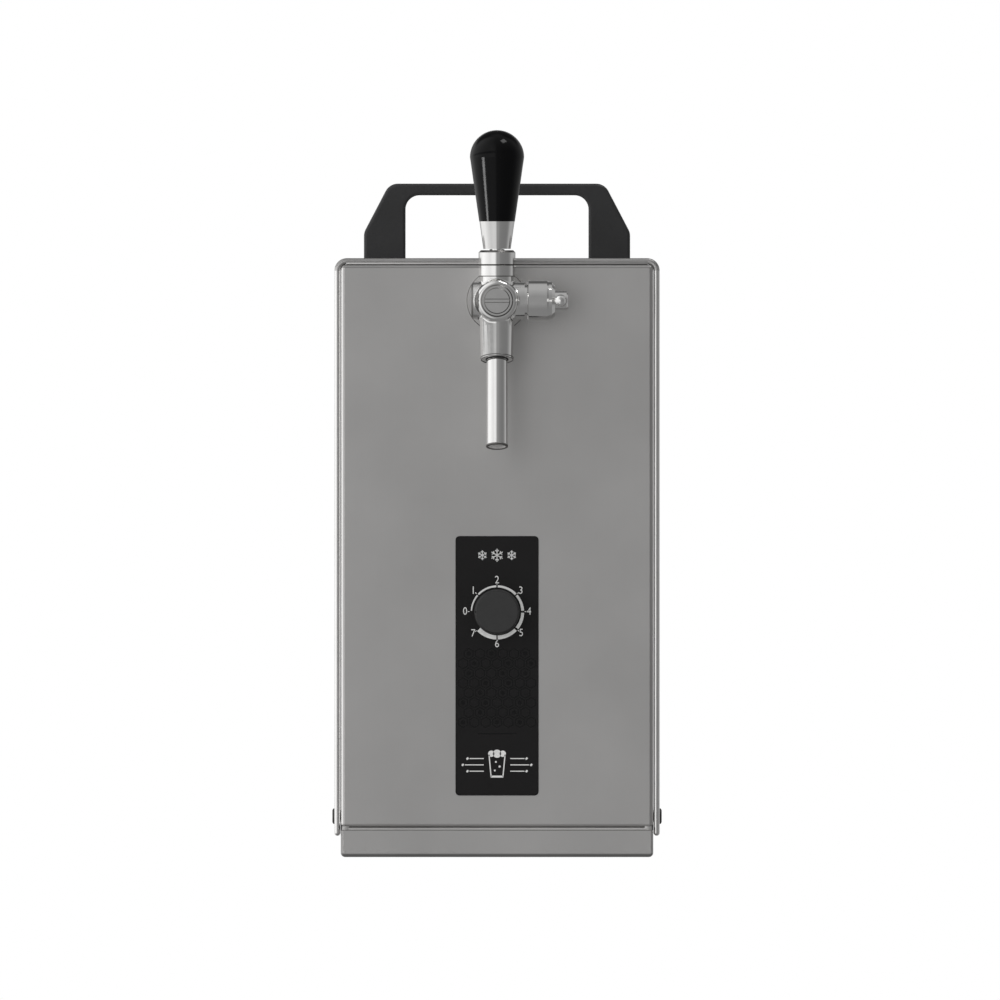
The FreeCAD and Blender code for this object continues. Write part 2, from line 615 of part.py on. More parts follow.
def lifting_frame():
    half = "(frame_width / 2)"
    inner = f"({tray_inside} - frame_plate)"
    under = "(crossbar_top - crossbar_plate)"
    arch = plate(
        "frame_arch", "y",
        [
            (f"-{tray_inside}", "tray_bend + 4"), (f"-{tray_inside}", "crossbar_top"),
            (tray_inside, "crossbar_top"), (tray_inside, "tray_bend + 4"), (inner, "tray_bend + 4"),
            (inner, under), (f"-{inner}", under), (f"-{inner}", "tray_bend + 4")],
        (f"-{half}", half))
    shelf = box("frame_shelf", (f"-{inner} - 0.5", f"{inner} + 0.5"),
                (f"{front_inside} + shelf_front_gap", half),
                ("shelf_height - frame_plate", "shelf_height"))
    flanges = [box("frame_shelf_flange", span, (f"{front_inside} + shelf_front_gap", half),
                   ("shelf_height - 16", "shelf_height"))
               for span in ((f"-{tray_inside}", f"-{inner}"), (inner, tray_inside))]
    whole = fuse("frame_whole", arch, shelf, *flanges)
    holes = []
    for across in (-1, 1):
        holes.append(cylinder(
            "frame_bolt_hole", "z", (f"{across} * (handle_width + grip_opening) / 4", "0"),
            "handle_bolt_radius + screw_clearance", ("crossbar_top - 6", "crossbar_top + overrun")))
        for run in (-1, 1):
            holes.append(cylinder(
                "frame_screw_hole", "x", (f"{run} * frame_screw_spread", "frame_screw_height"),
                screw_hole, (f"{across} * {tray_inside} - 5", f"{across} * {tray_inside} + 5")))
    holes.append(cylinder("frame_sensor_hole", "z", ("-(block_inner + block_outer) / 2", "block_place"),
                          "sensor_tube_radius * 2", ("shelf_height - 5", "shelf_height + overrun")))
    return cut("lifting_frame", whole, *holes)


def frame_fasteners():
    bolts = []
    for across in (-1, 1):
        seat = "(crossbar_top - crossbar_plate)"
        bolts.append(turned(
            "handle_bolt", "z", (f"{across} * (handle_width + grip_opening) / 4", "0"),
            [
                ("0", f"{seat} - bolt_head_height"), ("bolt_head_radius", f"{seat} - bolt_head_height"),
                ("bolt_head_radius", seat), ("handle_bolt_radius", seat),
                ("handle_bolt_radius", "crossbar_top + handle_bolt_depth"),
                ("0", "crossbar_top + handle_bolt_depth")]))
    node("handle_bolts", group("handle_bolts", *bolts))
    screws = []
    for across in (-1, 1):
        for run in (-1, 1):
            seat = f"({tray_inside} - frame_plate)"
            screw = turned(
                "frame_screw", "x", (f"{run} * frame_screw_spread", "frame_screw_height"),
                [
                    ("0", f"{seat} - screw_head_height"),
                    ("screw_head_radius", f"{seat} - screw_head_height"), ("screw_head_radius", seat),
                    ("screw_radius", seat), ("screw_radius", shell_half), ("0", shell_half)])
            if across < 0:
                screw.Placement.Rotation = Rotation(Vector(0, 1, 0), -90)
            screws.append(screw)
    node("frame_screws", group("frame_screws", *screws))


def control_label():
    half = "label_width / 2"
    film = plate(
        "label_film", "y",
        [
            (f"-{half}", "label_bottom"), (half, "label_bottom"), (half, "label_top"),
            (f"-{half}", "label_top")],
        (f"{front} - label_film", front))
    rounded(film, "label_corners", "label_corner", lambda edge: edge.BoundBox.YLength > near)
    hole = cylinder(
        "label_hole", "y", ("0", "dial_height"), "bush_radius + 0.1",
        (f"{front} - 2", f"{front} + overrun"))
    return cut("control_label", film, hole)


def thermostat():
    film = f"({front} - label_film)"
    nut_front = f"({film} - dial_nut_height)"
    half = "thermostat_width / 2"
    body_back = f"({front_inside} + thermostat_depth)"
    case = box("thermostat_case", (f"-{half}", half), (front_inside, body_back),
               ("dial_height - thermostat_tall / 2", "dial_height + thermostat_tall / 2"))
    bush = cylinder(
        "thermostat_bush", "y", ("0", "dial_height"), "bush_radius",
        (f"{nut_front} - 0.6", front_inside))
    bore = cylinder("thermostat_bore", "y", ("0", "dial_height"), "spindle_radius + running_gap",
                    (f"{nut_front} - 2", f"{body_back} - 6"))
    node("thermostat_body", cut("thermostat_body", fuse("thermostat_solid", case, bush), bore))
    nut = doc.addObject("Part::Prism", "dial_nut_blank")
    nut.Polygon = 6
    bind(nut, Circumradius="dial_nut_radius", Height="dial_nut_height")
    stand(nut, "y", ("0", "dial_height"), nut_front)
    nut_bore = cylinder("dial_nut_bore", "y", ("0", "dial_height"), "bush_radius + running_gap",
                        (f"{nut_front} - overrun", f"{film} + overrun"))
    node("thermostat_nut", cut("thermostat_nut", nut, nut_bore))
    tip = f"({film} - dial_gap - dial_length + 3)"
    spindle = cylinder(
        "spindle_rod", "y", ("0", "dial_height"), "spindle_radius", (tip, f"{body_back} - 6.5"))
    flat = box("spindle_flat", ("-5", "5"), (f"{tip} - overrun", f"{tip} + 8"),
               ("dial_height + spindle_radius * 0.5", "dial_height + 5"))
    node("thermostat_spindle", cut("thermostat_spindle", spindle, flat))
    rear = f"({film} - dial_gap)"
    face = f"({rear} - dial_length)"
    knob = turned(
        "dial_blank", "y", ("0", "dial_height"),
        [
            ("0", face), ("dial_radius - 1.2", face), ("dial_radius - 0.5", f"{face} + dial_edge"),
            ("dial_radius - 0.4", f"{rear} - dial_skirt - 0.4"),
            ("dial_radius", f"{rear} - dial_skirt"), ("dial_radius", rear),
            ("dial_nut_radius + dial_nut_room", rear),
            ("dial_nut_radius + dial_nut_room", f"{rear} - dial_nut_height - 1.4"),
            ("0", f"{rear} - dial_nut_height - 1.4")])
    socket = cylinder("dial_socket", "y", ("0", "dial_height"), "spindle_radius + 0.02", (tip, rear))
    socket_flat = box("dial_socket_flat", ("-5", "5"), (tip, f"{tip} + 7"),
                      ("dial_height + spindle_radius * 0.5 + 0.02", "dial_height + 5"))
    pointer = box(
        "dial_pointer_notch", ("-dial_radius - overrun", "-dial_radius + dial_notch"),
        (f"{face} - overrun", f"{rear} - dial_skirt - 0.4"),
        ("dial_height - dial_notch / 2", "dial_height + dial_notch / 2"))
    node("thermostat_knob", cut("thermostat_knob", knob, cut("dial_socket_shape", socket, socket_flat),
                                pointer))
    mid = "((block_inner + block_outer) / 2)"
    tube = pipe(
        "sensor_line",
        [
            ("-sensor_exit", body_back, "dial_height"), ("-sensor_exit", "block_place", "dial_height"),
            (f"-{mid}", "block_place", "dial_height"), (f"-{mid}", "block_place", "block_bottom + 6")],
        "sensor_tube_radius", "sensor_bend")
    bulb = cylinder("sensor_bulb", "z", (f"-{mid}", "block_place"), "sensor_bulb_radius",
                    ("block_bottom + 6", "block_bottom + 6 + sensor_bulb_length"))
    node("sensing_tube", fuse("sensing_tube", tube, bulb))


tap_middle = f"({front} - tap_reach)"
rosette_front = f"({front} - rosette_height)"


def tap_mounting():
    axis = ("0", "tap_height")
    node("tap_rosette", turned("tap_rosette", "y", axis,
                               [("shank_radius + thread_gap", rosette_front),
                                ("rosette_radius - rosette_chamfer * 1.6", rosette_front),
                                ("rosette_radius",
                                 f"{rosette_front} + rosette_chamfer"), ("rosette_radius", front),
                                ("shank_radius + thread_gap", front)]))
    inner_end = f"({front} + shank_length)"
    node(
        "tap_shank",
        turned(
            "tap_shank", "y", axis,
            [
                ("shank_bore", f"{rosette_front} - 2"), ("shank_radius", f"{rosette_front} - 2"),
                ("shank_radius", inner_end), ("shank_bore", inner_end)]))
    nut = doc.addObject("Part::Prism", "shank_nut_blank")
    nut.Polygon = 6
    bind(nut, Circumradius="shank_nut_radius", Height="shank_nut_height")
    stand(nut, "y", axis, front_inside)
    bore = cylinder("shank_nut_bore", "y", axis, "shank_radius + thread_gap",
                    (front, f"{front_inside} + shank_nut_height + overrun"))
    node("shank_nut", cut("shank_nut", nut, bore))


def tilted(piece, along):
    lean = Rotation(Vector(1, 0, 0), 180 - value("spout_tilt"))
    piece.Placement = Placement(Vector(), lean)
    bind(piece, Placement_dot_Base_dot_y=f"{tap_middle} - ({along}) * sin(spout_tilt * 1 deg)",
         Placement_dot_Base_dot_z=f"tap_height - ({along}) * cos(spout_tilt * 1 deg)")
    return piece


def tap_body():
    axis = ("0", "tap_height")
    boss_end = f"({tap_middle} - boss_front)"
    bar = cylinder("tap_boss_bar", "y", axis, "boss_radius", (boss_end, rosette_front))
    boss = round_ended("tap_boss", bar, "boss_round")
    across = (tap_middle, "tap_height")
    arm = turned(
        "tap_arm", "x", across,
        [
            ("0", "-arm_left"), ("arm_radius - arm_edge", "-arm_left"),
            ("arm_radius", "-arm_left + arm_edge"), ("arm_radius", "arm_right"), ("0", "arm_right")])
    arm_thread = cylinder("tap_arm_thread", "x", across, "arm_thread_radius",
                          ("arm_right - overrun", "arm_thread_end"))
    neck = cylinder("tap_neck", "z", ("0", tap_middle), "neck_radius", ("tap_height", "neck_top"))
    neck_thread = cylinder("tap_neck_thread", "z", ("0", tap_middle), "neck_thread",
                           ("neck_top - overrun", "thread_top"))
    outlet = doc.addObject("Part::Cone", "tap_outlet")
    bind(outlet, Radius1="outlet_top_radius", Radius2="outlet_end_radius", Height="outlet_length")
    tilted(outlet, "0")
    seat = f"({tap_middle} + seat_offset)"
    front_bore = cylinder("tap_front_bore", "y", axis, "boss_bore", (f"{boss_end} - overrun", seat))
    rear_bore = cylinder("tap_rear_bore", "y", axis, "shank_radius + thread_gap",
                         (f"{seat} + seat_width", f"{rosette_front} + overrun"))
    seat_bore = cylinder(
        "tap_seat_bore", "y", axis, "seat_bore", (f"{seat} - overrun", f"{seat} + seat_width + overrun"))
    neck_bore = cylinder(
        "tap_neck_bore", "z", ("0", tap_middle), "neck_bore", ("tap_height", "thread_top + overrun"))
    arm_bore = cylinder("tap_arm_bore", "x", across, "arm_bore", ("0", "arm_thread_end + overrun"))
    outlet_bore = tilted(doc.addObject("Part::Cylinder", "tap_outlet_bore"), "4")
    bind(outlet_bore, Radius="spout_radius + running_gap", Height="outlet_length")
    return casting("tap_body", (boss, arm, neck, outlet), "casting_fillet", (arm_thread, neck_thread),
                   (front_bore, rear_bore, seat_bore, neck_bore, arm_bore, outlet_bore))


def tap_fittings():
    axis = ("0", "tap_height")
    tube = tilted(doc.addObject("Part::Cylinder", "spout_outer"), "spout_start")
    bind(tube, Radius="spout_radius", Height="spout_end - spout_start")
    bore = tilted(doc.addObject("Part::Cylinder", "spout_bore"), "spout_start - overrun")
    bind(bore, Radius="spout_radius - spout_wall", Height="spout_end - spout_start + 2")
    node("spout_tube", cut("spout_tube", tube, bore))
    boss_end = f"({tap_middle} - boss_front)"
    ring = f"({boss_end} - plug_height)"
    face = f"({ring} - plug_head_height)"
    plug = turned(
        "plug_blank", "y", axis,
        [
            ("0", face), ("plug_head_radius - 0.5", face), ("plug_head_radius", f"{face} + 0.5"),
            ("plug_head_radius", ring), ("plug_radius - 0.7", ring), ("plug_radius", f"{ring} + 0.7"),
            ("plug_radius", boss_end), ("boss_bore - thread_gap", boss_end),
            ("boss_bore - thread_gap", f"{boss_end} + 4"),
            ("valve_radius + running_gap", f"{boss_end} + 4"),
            ("valve_radius + running_gap", f"{boss_end} + 0.5"), ("0", f"{boss_end} + 0.5")])
    slot_low = "tap_height - plug_slot_width / 2"
    slot_high = "tap_height + plug_slot_width / 2"
    slot = plate(
        "plug_slot", "x",
        [
            (f"{face} + plug_slot_depth", slot_low), (f"{face} + plug_slot_depth", slot_high),
            (f"{face} + plug_slot_edge", slot_high),
            (f"{face} - plug_slot_edge", f"{slot_high} + 2 * plug_slot_edge"),
            (f"{face} - plug_slot_edge", f"{slot_low} - 2 * plug_slot_edge"),
            (f"{face} + plug_slot_edge", slot_low)],
        ("-plug_slot_length / 2", "plug_slot_length / 2"))
    node("front_plug", cut("front_plug", plug, slot))
    collar_top = "(neck_top + collar_height)"
    node(
        "lock_collar",
        turned(
            "lock_collar", "z", ("0", tap_middle),
            [
                ("neck_thread + thread_gap", "neck_top"), ("collar_radius - 0.5", "neck_top"),
                ("collar_radius", "neck_top + 0.5"), ("collar_radius", f"{collar_top} - 0.4"),
                ("collar_radius - 0.4", collar_top), ("neck_thread + thread_gap", collar_top)]))
    nut = turned(
        "nut_blank", "z", ("0", tap_middle),
        [
            ("neck_thread + thread_gap", collar_top), ("collar_radius - 0.4", collar_top),
            ("collar_radius", f"{collar_top} + 0.4"), ("collar_radius", "nut_top - nut_chamfer"),
            ("collar_radius - nut_chamfer", "nut_top"), ("dish_radius", "nut_top"),
            ("dish_radius", "dish_floor"), ("neck_bore", "dish_floor"),
            ("neck_bore", "thread_top + 0.1"), ("neck_thread + thread_gap", "thread_top + 0.1")])
    pin_hole = cylinder("nut_pin_hole", "x", (tap_middle, "lever_pivot"), "lever_pin_radius",
                        ("-dish_radius - 0.7", "dish_radius + 0.7"))
    node("collar_nut", cut("collar_nut", nut, pin_hole))
    node("lever_pin", cylinder("lever_pin", "x", (tap_middle, "lever_pivot"), "lever_pin_radius",
                               ("-dish_radius - 0.6", "dish_radius + 0.6")))


def tap_lever():
    lever_line = ("0", tap_middle)
    hub = cylinder("lever_hub", "x", (tap_middle, "lever_pivot"), "lever_hub_radius",
                   ("-lever_hub_length / 2", "lever_hub_length / 2"))
    stem = cylinder(
        "lever_stem_rod", "z", lever_line, "lever_stem_radius",
        ("lever_pivot", "ferrule_top + knob_thread_depth - overrun"))
    tail = cylinder("lever_tail", "z", lever_line, "lever_tail_radius", ("tap_height", "lever_pivot"))
    ball = doc.addObject("Part::Sphere", "lever_ball")
    bind(ball, Radius="lever_ball_radius")
    stand(ball, "z", lever_line, "tap_height")
    bore = cylinder("lever_pin_bore", "x", (tap_middle, "lever_pivot"), "lever_pin_radius + running_gap",
                    ("-lever_hub_length", "lever_hub_length"))
    node("tap_lever", cut("tap_lever", fuse("lever_forging", hub, stem, tail, ball), bore))
    node(
        "handle_ferrule",
        turned(
            "handle_ferrule", "z", lever_line,
            [
                ("lever_stem_radius + thread_gap", "ferrule_bottom"),
                ("ferrule_low_radius", "ferrule_bottom"), ("ferrule_high_radius", "ferrule_top"),
                ("lever_stem_radius + thread_gap", "ferrule_top")]))
    cone = doc.addObject("Part::Cone", "knob_cone")
    bind(cone, Radius1="knob_low_radius", Radius2="knob_high_radius", Height="knob_widest - ferrule_top")
    stand(cone, "z", lever_line, "ferrule_top")
    dome = doc.addObject("Part::Sphere", "knob_dome")
    dome.Angle1 = 0
    bind(dome, Radius="knob_high_radius")
    stand(dome, "z", lever_line, "knob_widest")
    thread = cylinder("knob_thread", "z", lever_line, "lever_stem_radius + thread_gap",
                      ("ferrule_top - overrun", "ferrule_top + knob_thread_depth"))
    node("tap_knob", cut("tap_knob", fuse("knob_ball", cone, dome), thread))


def valve():
    axis = ("0", "tap_height")
    plug_inside = f"({tap_middle} - boss_front + overrun)"
    seal_front = f"({tap_middle} + seat_offset + seat_width + 0.05)"
    seal_back = f"({seal_front} + seal_width)"
    rod = turned(
        "valve_rod", "y", axis,
        [
            ("0", plug_inside), ("valve_radius", plug_inside), ("valve_radius", f"{seal_front} - 0.1"),
            ("valve_radius / 2", f"{seal_front} - 0.1"), ("valve_radius / 2", f"{seal_back} + 0.1"),
            ("valve_radius * 0.8", f"{seal_back} + 0.1"), ("valve_radius * 0.8", f"{seal_back} + 1.1"),
            ("0", f"{seal_back} + 1.1")])
    slot_half = "(lever_ball_radius + lever_ball_gap)"
    slot = box("valve_slot", (f"-{slot_half}", slot_half),
               (f"{tap_middle} - {slot_half}", f"{tap_middle} + {slot_half}"),
               (f"tap_height - {slot_half} - lever_ball_gap", "tap_height + valve_radius + overrun"))
    node("valve_shaft", cut("valve_shaft", rod, slot))
    node(
        "valve_seal",
        turned(
            "valve_seal", "y", axis,
            [
                ("valve_radius / 2 + running_gap", seal_front), ("seal_radius", seal_front),
                ("seal_radius", f"{seal_back} - 0.8"), ("seal_radius - 0.8", seal_back),
                ("valve_radius / 2 + running_gap", seal_back)]))


def compensator():
    axis = (tap_middle, "tap_height")
    node(
        "compensator_housing",
        turned(
            "compensator_housing", "x", axis,
            [
                ("arm_thread_radius + thread_gap", "housing_start"),
                ("housing_radius - 0.6", "housing_start"), ("housing_radius", "housing_start + 0.6"),
                ("housing_radius", "housing_full"), ("housing_radius - 0.5", "housing_full + 0.9"),
                ("housing_radius - 0.7", "housing_chamfer_start"),
                ("housing_end_radius", "housing_end"), ("stem_radius + running_gap", "housing_end"),
                ("stem_radius + running_gap", "stem_flange_start + stem_flange_width + 0.1"),
                ("arm_thread_radius + thread_gap", "stem_flange_start + stem_flange_width + 0.1")]))
    stem = turned(
        "stem_rod", "x", axis,
        [
            ("0", "flow_cone_tip + 0.5"), ("flow_rod_radius", "flow_cone_tip + 0.5"),
            ("flow_rod_radius", "stem_flange_start"), ("stem_flange_radius", "stem_flange_start"),
            ("stem_flange_radius", "stem_flange_start + stem_flange_width"),
            ("stem_radius", "stem_flange_start + stem_flange_width"), ("stem_radius", "stem_end - 0.8"),
            ("stem_radius - 0.8", "stem_end"), ("0", "stem_end")])
    socket = cylinder("stem_lever_hole", "y", ("side_lever_place", "tap_height"),
                      "side_lever_radius - 0.8",
                      (f"{tap_middle} - stem_radius - overrun", f"{tap_middle} + 3"))
    node("compensator_spindle", cut("compensator_spindle", stem, socket))
    tip = f"({tap_middle} - side_lever_length)"
    seat = f"({tap_middle} - stem_radius - 0.05)"
    node(
        "compensator_lever",
        turned(
            "compensator_lever", "y", ("side_lever_place", "tap_height"),
            [
                ("0", tip), ("side_lever_radius * 0.55", f"{tip} + side_lever_radius * 0.12"),
                ("side_lever_radius * 0.85", f"{tip} + side_lever_radius * 0.45"),
                ("side_lever_radius", f"{tip} + side_lever_radius"), ("side_lever_radius * 0.8", seat),
                ("side_lever_radius - 0.85", seat), ("side_lever_radius - 0.85", f"{tap_middle} + 2.9"),
                ("0", f"{tap_middle} + 2.9")]))
    node(
        "flow_cone",
        turned(
            "flow_cone", "x", axis,
            [
                ("flow_rod_radius + running_gap", "flow_cone_tip"),
                ("flow_cone_tip_radius", "flow_cone_tip"), ("flow_cone_radius", "flow_cone_base"),
                ("flow_cone_radius", "flow_cone_base + 3"),
                ("flow_rod_radius + running_gap", "flow_cone_base + 3")]))


beer_coil_radius = "(block_outer + coil_gap + beer_tube_radius)"
cold_coil_radius = "(block_inner - coil_gap - cold_tube_radius)"
beer_top = "(beer_coil_bottom + beer_turns * beer_pitch)"
cold_top = "(cold_coil_bottom + cold_turns * cold_pitch)"
beer_drop = "(frame_width / 2 - 6)"


def cold_block():
    middle = ("0", "block_place")
    ring = turned(
        "block_ring", "z", middle,
        [
            ("block_inner", "block_bottom"), ("block_outer", "block_bottom"),
            ("block_outer", "block_top"), ("block_inner", "block_top")])
    well = cylinder(
        "block_sensor_well", "z", ("-(block_inner + block_outer) / 2", "block_place"),
        "sensor_bulb_radius + running_gap",
        ("block_bottom - overrun", "block_bottom + 8 + sensor_bulb_length"))
    node("cold_block", cut("cold_block", ring, well))
    beer = coil("beer_winding", middle, beer_coil_radius, "beer_tube_radius", "beer_coil_bottom",
                "beer_pitch", "beer_turns")
    port_end = f"({back} - port_inner)"
    inlet = pipe(
        "beer_inlet_run",
        [
            (beer_coil_radius, port_end, "port_height"), (beer_coil_radius, beer_drop, "port_height"),
            (beer_coil_radius, beer_drop, "beer_coil_bottom"),
            (beer_coil_radius, "block_place", "beer_coil_bottom")],
        "beer_tube_radius", "tube_bend")
    riser = "(block_place - beer_riser_inset)"
    outlet = pipe(
        "beer_outlet_run",
        [
            (beer_coil_radius, "block_place", beer_top), (beer_coil_radius, riser, beer_top),
            (beer_coil_radius, riser, "tap_height"), ("0", riser, "tap_height"),
            ("0", f"{front} + shank_length", "tap_height")],
        "beer_tube_radius", "tube_bend")
    node("beer_coil", group("beer_coil", beer, inlet, outlet))
    cold = coil("evaporator_coil", middle, cold_coil_radius, "cold_tube_radius", "cold_coil_bottom",
                "cold_pitch", "cold_turns")
    node("evaporator_coil", cold)
    node(
        "suction_pipe",
        pipe(
            "suction_pipe",
            [
                (cold_coil_radius, "block_place", "cold_coil_bottom"),
                (cold_coil_radius, "compressor_place", "cold_coil_bottom"),
                (cold_coil_radius, "compressor_place", "compressor_top")],
            "pipe_radius", "suction_bend"))


def foam_case():
    half = "(foam_width / 2)"
    case = box(
        "foam_block", (f"-{half}", half),
        ("block_place - foam_depth / 2", "block_place + foam_depth / 2"), ("shelf_height", "foam_top"))
    cavity = cylinder("foam_room", "z", ("0", "block_place"), "foam_cavity", ("foam_floor", "foam_roof"))
    pad = turned(
        "foam_pad", "z", ("0", "block_place"),
        [
            ("block_inner + pad_inset", "foam_floor"), ("block_outer", "foam_floor"),
            ("block_outer", "block_bottom"), ("block_inner + pad_inset", "block_bottom")])
    beer_hole = "beer_tube_radius + foam_hole_gap"
    cold_hole = "pipe_radius + foam_hole_gap"
    rear = "block_place + foam_depth / 2 + overrun"
    holes = [
        cylinder(
            "foam_inlet_hole", "y", (beer_coil_radius, "beer_coil_bottom"), beer_hole,
            ("block_place", rear)),
        cylinder(
            "foam_riser_hole", "z", (beer_coil_radius, "block_place - beer_riser_inset"), beer_hole,
            (beer_top, "foam_top + overrun")),
        cylinder(
            "foam_suction_hole", "y", (cold_coil_radius, "cold_coil_bottom"), cold_hole,
            ("block_place", rear)),
        cylinder(
            "foam_capillary_hole", "z", (cold_coil_radius, "block_place - 14"),
            "capillary_radius + foam_hole_gap", ("foam_roof - overrun", "foam_top + overrun")),
        cylinder(
            "foam_sensor_hole", "z", ("-(block_inner + block_outer) / 2", "block_place"),
            "sensor_bulb_radius + foam_hole_gap", ("shelf_height - overrun", "block_bottom + overrun"))]
    hollow = cut("foam_hollow", case, cavity)
    return cut("foam_case", fuse("foam_whole", hollow, pad), *holes)


def compressor():
    middle = ("0", "compressor_place")
    pot = turned(
        "compressor_pot", "z", middle,
        [
            ("0", "compressor_bottom - 3"), ("compressor_radius", "compressor_bottom - 3"),
            ("compressor_radius", "compressor_top"), ("0", "compressor_top")])
    rounded(pot, "compressor_domes", "compressor_dome",
            lambda edge: edge.BoundBox.XLength > near and edge.BoundBox.ZLength < near)
    plate_half = "(foot_plate_width / 2)"
    feet = box("compressor_feet", (f"-{plate_half}", plate_half),
               ("compressor_place - foot_plate_depth / 2", "compressor_place + foot_plate_depth / 2"),
               ("compressor_bottom - foot_plate", "compressor_bottom"))
    seam = cylinder("compressor_seam", "z", middle, "compressor_radius + 1.6",
                    ("compressor_bottom + 58", "compressor_bottom + 62"))
    terminal = box(
        "compressor_terminal", ("-compressor_radius - 8", "-compressor_radius + 8"),
        ("compressor_place - 18", "compressor_place + 18"),
        ("compressor_bottom + 20", "compressor_bottom + 52"))
    holes = []
    grommets = []
    bolts = []
    for across in (-1, 1):
        for run in (-1, 1):
            place = (f"{across} * foot_spread", f"compressor_place + {run} * foot_run")
            holes.append(cylinder("compressor_foot_hole", "z", place, "grommet_neck + running_gap",
                                  ("compressor_bottom - foot_plate - overrun",
                                   "compressor_bottom + overrun")))
            under = "(compressor_bottom - foot_plate)"
            cap = "(compressor_bottom + grommet_cap)"
            grommets.append(turned(
                "grommet", "z", place,
                [
                    ("foot_bolt_radius + running_gap", "tray_wall"), ("grommet_radius", "tray_wall"),
                    ("grommet_radius", under), ("grommet_neck", under),
                    ("grommet_neck", "compressor_bottom"),
                    ("grommet_radius - grommet_edge", "compressor_bottom"),
                    ("grommet_radius - grommet_edge", cap), ("foot_bolt_radius + running_gap", cap)]))
            bolts.append(turned(
                "foot_bolt", "z", place,
                [
                    ("0", "0.4"), ("foot_bolt_radius", "0.4"), ("foot_bolt_radius", cap),
                    ("foot_bolt_head_radius", cap),
                    ("foot_bolt_head_radius", f"{cap} + foot_bolt_head"),
                    ("0", f"{cap} + foot_bolt_head")]))
    node("compressor", cut("compressor", fuse("compressor_whole", pot, feet, seam, terminal), *holes))
    node("compressor_grommets", group("compressor_grommets", *grommets))
    node("compressor_bolts", group("compressor_bolts", *bolts))


fan_front = f"({back_inside} - fan_depth)"
condenser_back = f"({fan_front} - condenser_gap)"
condenser_middle = f"({condenser_back} - condenser_depth / 2)"


def condenser():
    low = "fan_height - fan_size / 2"
    high = "fan_height + fan_size / 2"
    fins = []
    for index in range(int(value("fin_count"))):
        place = f"(-condenser_width / 2 + {index} * (condenser_width - fin_plate) / (fin_count - 1))"
        fins.append(box("condenser_fin", (place, f"{place} + fin_plate"),
                        (f"{condenser_back} - condenser_depth", condenser_back), (low, high)))
    rails = [box("condenser_rail", ("-condenser_width / 2", "condenser_width / 2"),
                 (f"{condenser_back} - condenser_depth", condenser_back + " + condenser_gap"), span)
             for span in ((low, f"{low} + 1.5"), (f"{high} - 1.5", high))]
    passes = int(value("condenser_passes"))
    levels = [f"(fan_height + {(passes - 1) / 2 - index} * condenser_pass)" for index in range(passes)]
    tunnels = [cylinder("condenser_tunnel", "x", (condenser_middle, level),
                        "condenser_tube + running_gap",
                        ("-condenser_width / 2 - overrun",
                         "condenser_width / 2 + overrun")) for level in levels]
    node("condenser_fins", cut("condenser_fins", fuse("condenser_stack", *fins, *rails), *tunnels))
    reach = "(condenser_reach + condenser_pass / 2)"
    points = [("-discharge_side", condenser_middle, levels[0])]
    for index, level in enumerate(levels[:-1]):
        turn = "" if index % 2 == 0 else "-"
        points.append((turn + reach, condenser_middle, level))
        points.append((turn + reach, condenser_middle, levels[index + 1]))
    points.append(("drier_side", condenser_middle, levels[-1]))
    points.append(("drier_side", "drier_place", levels[-1]))
    points.append(("drier_side", "drier_place", "drier_bottom"))
    node("condenser_coil", pipe("condenser_coil", points, "condenser_tube", "condenser_pass / 2 - 0.001"))
    line = ("drier_side", "drier_place")
    drier_top = "(drier_bottom + drier_length)"
    node(
        "filter_drier",
        turned(
            "filter_drier", "z", line,
            [
                ("0", "drier_bottom"), ("drier_radius * 0.45", "drier_bottom"),
                ("drier_radius", "drier_bottom + 8"), ("drier_radius", f"{drier_top} - 8"),
                ("drier_radius * 0.35", drier_top), ("0", drier_top)]))
    node(
        "discharge_pipe",
        pipe(
            "discharge_pipe",
            [
                ("-20", "compressor_place", "compressor_top"),
                ("-20", "compressor_place", "pipe_level"), ("-20", condenser_middle, "pipe_level"),
                ("-discharge_side", condenser_middle, "pipe_level"),
                ("-discharge_side", condenser_middle, f"{levels[0]} + 3")],
            "pipe_radius", "tube_bend"))
    node(
        "capillary_tube",
        pipe(
            "capillary_tube",
            [
                ("drier_side", "drier_place", drier_top),
                ("drier_side", "drier_place", "capillary_low"),
                (cold_coil_radius, "drier_place", "capillary_low"),
                (cold_coil_radius, "frame_width / 2 + 6", "capillary_low"),
                (cold_coil_radius, "frame_width / 2 + 6", "capillary_high"),
                (cold_coil_radius, "block_place - 14", "capillary_high"),
                (cold_coil_radius, "block_place - 14", cold_top),
                (cold_coil_radius, "block_place", cold_top)],
            "capillary_radius", "5"))


